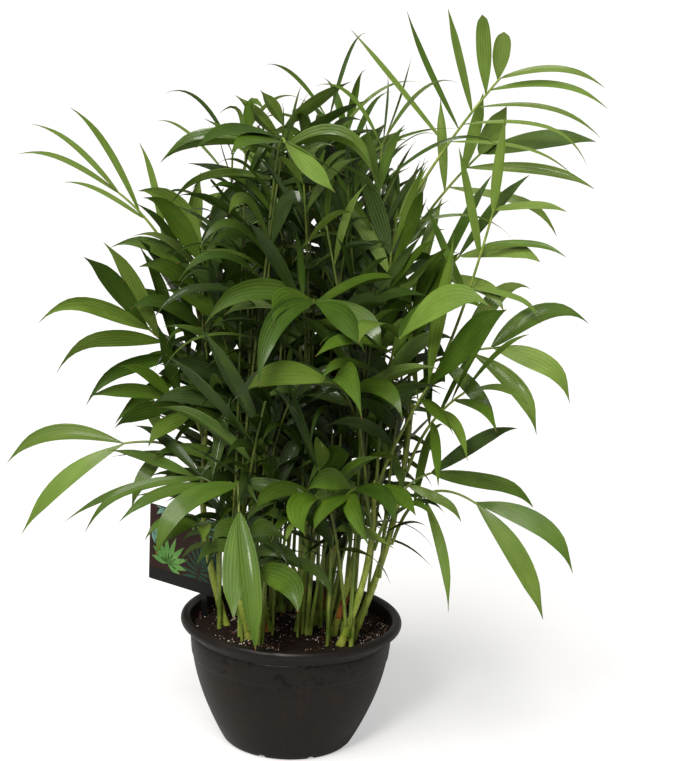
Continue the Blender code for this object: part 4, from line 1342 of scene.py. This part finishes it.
def make_swept_tree():
    """Geometry Nodes that sweep outlines along lines, each point with its own across and half width."""
    tree = bpy.data.node_groups.new("swept_lines", "GeometryNodeTree")
    given, result = sockets(
        tree,
        [("Lines", "Geometry", None), ("Outline", "Object", None), ("Folded outline", "Object", None),
         ("Material", "Material", None)],
        [("Swept", "Geometry")],
    )
    across = put(tree, "GeometryNodeInputNamedAttribute", {"data_type": "FLOAT_VECTOR"}, Name="across")
    half = put(tree, "GeometryNodeInputNamedAttribute", {"data_type": "FLOAT"}, Name="half")
    folded = put(tree, "GeometryNodeInputNamedAttribute", {"data_type": "FLOAT"}, Name="folded")
    apart = put(tree, "GeometryNodeSeparateGeometry", Geometry=given["Lines"], Selection=folded.outputs[0])
    both = put(tree, "GeometryNodeJoinGeometry")
    for part, name in ((0, "Folded outline"), (1, "Outline")):
        lines = put(tree, "GeometryNodeMeshToCurve", Mesh=apart.outputs[part])
        faced = put(tree, "GeometryNodeSetCurveNormal", {"mode": "FREE"}, Curve=lines.outputs[0],
                    Normal=across.outputs[0])
        shown = put(tree, "GeometryNodeObjectInfo", Object=given[name])
        outline = put(tree, "GeometryNodeMeshToCurve", Mesh=shown.outputs["Geometry"])
        swept = put(tree, "GeometryNodeCurveToMesh", Curve=faced.outputs[0], Profile_Curve=outline.outputs[0],
                    Scale=half.outputs[0], Fill_Caps=True)
        tree.links.new(swept.outputs[0], both.inputs[0])
    smooth = put(tree, "GeometryNodeSetShadeSmooth", Geometry=both.outputs[0])
    bend = put(tree, "GeometryNodeInputMeshEdgeAngle")
    keen = put(tree, "FunctionNodeCompare", {"data_type": "FLOAT", "operation": "GREATER_THAN"},
               _0=bend.outputs["Unsigned Angle"], _1=KEEN_EDGE)
    edged = put(tree, "GeometryNodeSetShadeSmooth", {"domain": "EDGE"}, Geometry=smooth.outputs[0],
                Selection=keen.outputs[0], Shade_Smooth=False)
    real = put(tree, "GeometryNodeRealizeInstances", Geometry=edged.outputs[0])
    dressed = put(tree, "GeometryNodeSetMaterial", Geometry=real.outputs[0], Material=given["Material"])
    tree.links.new(dressed.outputs[0], result["Swept"])
    return tree


def line_mesh(name, lines):
    """Open lines as one mesh. Each is its points, across directions, half widths, painted shades, and 1 if
    folded.
    """
    points, edges, across, half, along, shade, folded = [], [], [], [], [], [], []
    for centres, acrosses, halves, tones, fold in lines:
        edges += [(len(points) + k, len(points) + k + 1) for k in range(len(centres) - 1)]
        points += centres
        across += acrosses
        half += halves
        along += [k / (len(centres) - 1) for k in range(len(centres))]
        shade += tones
        folded += [fold] * len(centres)
    mesh = bpy.data.meshes.new(name + "_lines")
    mesh.from_pydata([tuple(p) for p in points], edges, [])
    mesh.attributes.new("across", "FLOAT_VECTOR", "POINT").data.foreach_set(
        "vector", np.array([tuple(a) for a in across], np.float32).ravel())
    shade_attribute(mesh, shade)
    for label, values in (("half", half), ("along", along), ("folded", folded)):
        mesh.attributes.new(label, "FLOAT", "POINT").data.foreach_set("value", np.array(values, np.float32))
    return mesh


def outline_object(name, corners):
    """A closed outline to sweep. Each corner is x, y, its place across the blade, and 1 on the upper side."""
    mesh = bpy.data.meshes.new(name)
    count = len(corners)
    mesh.from_pydata([(c[0], c[1], 0.0) for c in corners], [(k, (k + 1) % count) for k in range(count)], [])
    for label, place in (("width_place", 2), ("upper_side", 3)):
        mesh.attributes.new(label, "FLOAT", "POINT").data.foreach_set(
            "value", np.array([c[place] for c in corners], np.float32))
    made = bpy.data.objects.new(name, mesh)
    bpy.context.scene.collection.objects.link(made)
    return made


def blade_outline(fold):
    """A leaflet's section: pleats either side of a low ridge, thin edges, and both halves folded down."""
    upper = ((-1.0, -0.045), (-0.66, 0.004), (-0.34, -0.026), (0.0, 0.050), (0.34, -0.026), (0.66, 0.004),
             (1.0, -0.045))
    lower = ((0.66, -0.036), (0.0, -0.030), (-0.66, -0.036))
    return [(x, y - fold * abs(x), (x + 1) / 2, 0.5 if abs(x) == 1 else 1.0) for x, y in upper] + [
        (x, y - fold * abs(x), (x + 1) / 2, 0.0) for x, y in lower]


def make_leaf_group():
    """A leaflet's finish: lengthwise veins, a paler middle, a dull underside, spots, a dry brown tip and
    painted shade.
    """
    tree = bpy.data.node_groups.new("leaf_finish", "ShaderNodeTree")
    given, result = sockets(
        tree,
        [
            ("Green", "Color", (0.04, 0.12, 0.02, 1.0)),
            ("Vein green", "Color", (0.08, 0.2, 0.03, 1.0)),
            ("Dry", "Color", (0.2, 0.09, 0.03, 1.0)),
            ("Veins", "Float", 7.0),
            ("Spots", "Float", 0.5),
        ],
        FINISH,
    )
    carried_numbers = ("width_place", "along", "upper_side", "shade")
    width, along, upper, shade = (carried(tree, name) for name in carried_numbers)
    place = put(tree, "ShaderNodeTexCoord").outputs["Object"]
    phase = maths(tree, "MULTIPLY", width, maths(tree, "MULTIPLY", given["Veins"], math.tau))
    wave = maths(tree, "COSINE", phase)
    nerve = ramp(tree, wave, 0.35, 1.0)
    on_blade = put(tree, "ShaderNodeCombineXYZ", X=width, Y=along, Z=shade).outputs[0]
    long_way = put(tree, "ShaderNodeMapping", Vector=on_blade, Scale=(46.0, 1.6, 37.0)).outputs[0]
    streaks = speckle(tree, long_way, 1.0, 3.0, 0.6)
    broad = put(tree, "ShaderNodeMapping", Vector=on_blade, Scale=(2.2, 3.4, 91.0)).outputs[0]
    patches = ramp(tree, speckle(tree, broad, 1.0, 2.0), 0.36, 0.66)
    cloud = speckle(tree, place, 28.0, 3.0)
    specks = ramp(tree, speckle(tree, place, 150.0, 2.0), 0.73, 0.78)
    paler = maths(tree, "MULTIPLY_ADD", ramp(tree, streaks, 0.35, 0.68), 0.40,
                  maths(tree, "MULTIPLY", patches, 0.55))
    lined = maths(tree, "MULTIPLY_ADD", nerve, 0.32, paler, use_clamp=True)
    clouded = maths(tree, "MULTIPLY", lined, ramp(tree, cloud, 0.3, 0.7, 0.55, 1.2))
    green = blend(tree, clouded, given["Green"], given["Vein green"])
    sided = blend(tree, maths(tree, "MULTIPLY_ADD", upper, -0.35, 0.35), green, given["Vein green"])
    # Painted shade: each leaflet's colour is scaled by its carried shade, darker towards the crown's middle,
    # partly a chance tone
    toned = shaded(tree, sided, ramp(tree, shade, 0.0, 1.0, 0.42, 1.26))
    dry = maths(tree, "MAXIMUM", maths(tree, "MULTIPLY", specks, given["Spots"]),
                ramp(tree, along, 0.955, 0.995))
    tree.links.new(blend(tree, dry, toned, given["Dry"]), result["Colour"])
    rough = maths(tree, "MULTIPLY_ADD", upper, -0.20, ramp(tree, cloud, 0.3, 0.7, 0.46, 0.58))
    tree.links.new(rough, result["Roughness"])
    tree.links.new(maths(tree, "MULTIPLY_ADD", wave, 0.35, streaks), result["Height"])
    return tree


leaf_group = make_leaf_group()


def leaf_skin(name, green, vein, spots):
    """A leaflet's glossy skin in one of the greens, with the paler green of its veins."""
    return group_finish(
        name, leaf_group,
        {"Green": green, "Vein green": vein, "Dry": (0.19, 0.085, 0.030), "Veins": 6.0, "Spots": spots},
        0.7, 0.0006, Specular_IOR_Level=0.30, Coat_Weight=0.30, Coat_Roughness=0.15, Coat_IOR=1.4)


# Greens painted as light and shade, from the shaded middle to the lit outside: name, the blade's colour and
# its veins'
LEAF_GREENS = (
    ("deep", (0.019, 0.046, 0.002), (0.045, 0.091, 0.006)),
    ("mid", (0.035, 0.079, 0.003), (0.078, 0.142, 0.010)),
    ("bright", (0.063, 0.122, 0.008), (0.130, 0.205, 0.028)),
    ("pale", (0.080, 0.145, 0.012), (0.158, 0.232, 0.040)),
)
# How many leaflets of each painted green are dealt inside the crown, outside it, and to two kinds of frond
# whole
INNER_DEAL = (6, 4, 1, 0)
OUTER_DEAL, OUTER_FROM = (2, 4, 4, 2), 0.75
SUNLIT_DEAL = (0, 1, 4, 5)
LOW_FRONT_DEAL = (2, 7, 1, 0)
LEADING_AND_FILL = len(LEADING) + FILL_FRONDS
# Fronds by their place in the list: high in the sun, which take the paler painted greens, and low at the front
SUNLIT_FRONDS = (0, 1, 2, 15)
LOW_FRONT_FRONDS = (*range(20, len(LEADING)), *range(LEADING_AND_FILL, LEADING_AND_FILL + len(HANGING)))
# Those before the canes, whose leaflets move most, those with strap-like leaflets, and the feathers. Two
# leaflets at the end of the tall feather are broad and blunt.
FRONT_FRONDS = (18, 19, 20, 22, 23)
STRAP_FRONDS, STRAP_TAPER = (0, 1, 2, 3, 7, 9, 15, 21, 45), 0.62
FEATHER_FRONDS, FEATHER_SLIMMER = (0, 2, 15), 0.8
BLUNT_LEAFLETS, BLUNT_WIDER = ((0, 6), (0, 8)), 1.2
STALK_FOOT_WIDER = 1.25
FOLDED_SHARE, FOLD = 0.4, 0.42
# How much of a leaflet's painted shade comes from how far out it is, and the rest is a chance tone
SHADE_BY_PLACE = 0.60
SPOTS = 0.5

room = Room()
shapes = LEADING + fill_fronds() + HANGING + crest_fronds() + young_fronds() + wisp_fronds()
deal = random.Random(5)
rib_lines, blade_lines = [], [[] for _ in LEAF_GREENS]
for number, shape in enumerate(shapes):
    line, blades = grown_frond(number, shape, room)
    sucker = shape["apart"] > 0
    centres = [line[0] - UP * SUCKER_FOOT if sucker else cane_point(shape["cane"], shape["share"])] + line
    sideways = (line[-1] - line[0]).cross(UP).normalized()
    halves = [STALK_RADIUS * STALK_FOOT_WIDER]
    halves += [mix(STALK_RADIUS, RIB_END_RADIUS, k / RIB_STEPS) for k in range(RIB_STEPS + 1)]
    if number >= LEADING_AND_FILL:
        stout = deal.uniform(*SUCKER_STALK) if sucker else YOUNG_STALK
        halves = [half * mix(stout, YOUNG_STALK, k / RIB_STEPS) for k, half in enumerate(halves)]
    # Painted shade along each stalk and rib: darker inside the crown, full low down and far out
    tones = [painted_brightness(point) for point in centres]
    rib_lines.append((centres, [sideways] * len(centres), halves, tones, 0.0))
    for centres, acrosses, halves in blades:
        if acrosses[0].cross(centres[1] - centres[0]).z < 0:
            acrosses = [-across for across in acrosses]
        # Greens dealt by place: darker greens inside the crown, paler outside and on sunlit fronds, as painted
        # shade and light
        out = outwardness(centres[LEAF_STEPS // 2])
        if number in SUNLIT_FRONDS:
            weights = SUNLIT_DEAL
        elif number in LOW_FRONT_FRONDS:
            weights = LOW_FRONT_DEAL
        else:
            weights = OUTER_DEAL if out > OUTER_FROM else INNER_DEAL
        tint = deal.choices(range(len(LEAF_GREENS)), weights)[0]
        # Painted shade on each leaflet: darker the further in it lies, mixed with a chance tone
        tones = [mix(deal.random(), out**2, SHADE_BY_PLACE)] * len(centres)
        blade_lines[tint].append((centres, acrosses, halves, tones, float(deal.random() < FOLDED_SHARE)))

swept_tree = make_swept_tree()
frond_nodes = sorted(name for name in nodes if name.startswith("frond_"))
round_outline = outline_object("round_outline", [
    (math.cos(math.tau * k / 8), math.sin(math.tau * k / 8), k / 8, 1.0) for k in range(8)])
stalk_skin = plant_skin("stalk_skin", (0.120, 0.205, 0.020), (0.320, 0.400, 0.068), (0.07, 0.05, 0.02), 0.3,
                        0.3)
ribs = made_by_nodes("stalks_and_ribs", line_mesh("stalks_and_ribs", rib_lines), swept_tree,
                     {"Outline": round_outline, "Folded outline": round_outline, "Material": stalk_skin})
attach(ribs, "root")
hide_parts(*frond_nodes)
leaf_outline = outline_object("leaf_outline", blade_outline(0.0))
folded_outline = outline_object("folded_outline", blade_outline(FOLD))
for (tint, green, vein), lines in zip(LEAF_GREENS, blade_lines):
    leaves = made_by_nodes(
        f"leaflets_{tint}", line_mesh(f"leaflets_{tint}", lines), swept_tree,
        {"Outline": leaf_outline, "Folded outline": folded_outline,
         "Material": leaf_skin(f"leaf_{tint}", green, vein, SPOTS)})
    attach(leaves, "root")
    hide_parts(*frond_nodes)
for outline in (round_outline, leaf_outline, folded_outline):
    bpy.data.objects.remove(outline)


# The studio ------------------------------------------------------------------------------------------
# A plain white floor without an end, pale air all round, a broad soft lamp high over the front left, a
# smaller one in front, and the camera as the photograph has it.

FLOOR_REACH = 60
FLOOR_LIT, FLOOR_SEEN, FLOOR_GLOW = (0.42, 0.42, 0.41, 1.0), (0.60, 0.60, 0.60, 1.0), (0.46, 0.46, 0.46, 1.0)
AIR_LIGHT, AIR_COLOUR = 0.28, (1.0, 0.985, 0.96, 1.0)
LAMP_COLOUR = (1.0, 0.975, 0.93)
MIDDLE = Vector((0.0, 0.0, 0.40))
CAMERA_BACK, CAMERA_HEIGHT = 2.0, 0.867
CAMERA_YAW, CAMERA_DOWN, CAMERA_ROLL = 0.0209, 0.228, 0.0428
CAMERA_LENS, CAMERA_SENSOR = 91.87, 36.0


def studio_sheet():
    """The floor as one flat sheet, which the camera sees brighter than the light on the plant does."""
    made = bpy.data.meshes.new("studio_floor")
    far = FLOOR_REACH
    made.from_pydata([(-far, -far, 0), (far, -far, 0), (far, far, 0), (-far, far, 0)], [], [(0, 1, 2, 3)])
    sheet = bpy.data.objects.new("studio_floor", made)
    bpy.context.scene.collection.objects.link(sheet)
    white, tree, shader = new_material("studio_white", Roughness=0.9, Specular_IOR_Level=0.1,
                                       Emission_Strength=1.0)
    seen = put(tree, "ShaderNodeLightPath").outputs["Is Camera Ray"]
    tree.links.new(blend(tree, seen, FLOOR_LIT, FLOOR_SEEN), shader.inputs["Base Color"])
    tree.links.new(blend(tree, seen, (0.0, 0.0, 0.0, 1.0), FLOOR_GLOW), shader.inputs["Emission Color"])
    made.materials.append(white)
    return sheet


def hung_lamp(name, kind, place, power, **sizes):
    """A warm lamp hung at a place and turned to the middle of the plant."""
    lamp = bpy.data.lights.new(name, kind)
    lamp.energy = power
    lamp.color = LAMP_COLOUR
    for size, value in sizes.items():
        setattr(lamp, size, value)
    hung = bpy.data.objects.new(name, lamp)
    bpy.context.scene.collection.objects.link(hung)
    hung.location = place
    hung.rotation_euler = (MIDDLE - Vector(place)).to_track_quat("-Z", "Y").to_euler()


studio_sheet()

world = bpy.data.worlds.new("studio_air")
world.use_nodes = True
air = world.node_tree
dim = air.nodes["Background"]
dim.inputs["Color"].default_value = AIR_COLOUR
dim.inputs["Strength"].default_value = AIR_LIGHT
white = put(air, "ShaderNodeBackground", Color=(1.0, 1.0, 1.0, 1.0), Strength=1.0)
seen = put(air, "ShaderNodeLightPath").outputs["Is Camera Ray"]
either = put(air, "ShaderNodeMixShader", _0=seen, _1=dim.outputs[0], _2=white.outputs[0])
air.links.new(either.outputs[0], air.nodes["World Output"].inputs["Surface"])
bpy.context.scene.world = world
bpy.context.scene.view_settings.view_transform = "Standard"

hung_lamp("sky_light", "SUN", place=(-0.55, -1.3, 2.9), power=2.7, angle=math.radians(32))
hung_lamp("front_light", "AREA", place=(-0.7, -2.3, 1.9), power=42.0, shape="DISK", size=0.6)

ahead = Vector((math.sin(CAMERA_YAW) * math.cos(CAMERA_DOWN), math.cos(CAMERA_YAW) * math.cos(CAMERA_DOWN),
                -math.sin(CAMERA_DOWN)))
level = Vector((math.cos(CAMERA_YAW), -math.sin(CAMERA_YAW), 0.0))
upward = level.cross(ahead)
right = level * math.cos(CAMERA_ROLL) + upward * math.sin(CAMERA_ROLL)
above = upward * math.cos(CAMERA_ROLL) - level * math.sin(CAMERA_ROLL)
lens = bpy.data.cameras.new("camera")
lens.lens = CAMERA_LENS
lens.sensor_width = CAMERA_SENSOR
camera = bpy.data.objects.new("camera", lens)
bpy.context.scene.collection.objects.link(camera)
turn = Matrix((right, above, -ahead)).transposed().to_4x4()
camera.matrix_world = Matrix.Translation((0.0, -CAMERA_BACK, CAMERA_HEIGHT)) @ turn
bpy.context.scene.camera = camera
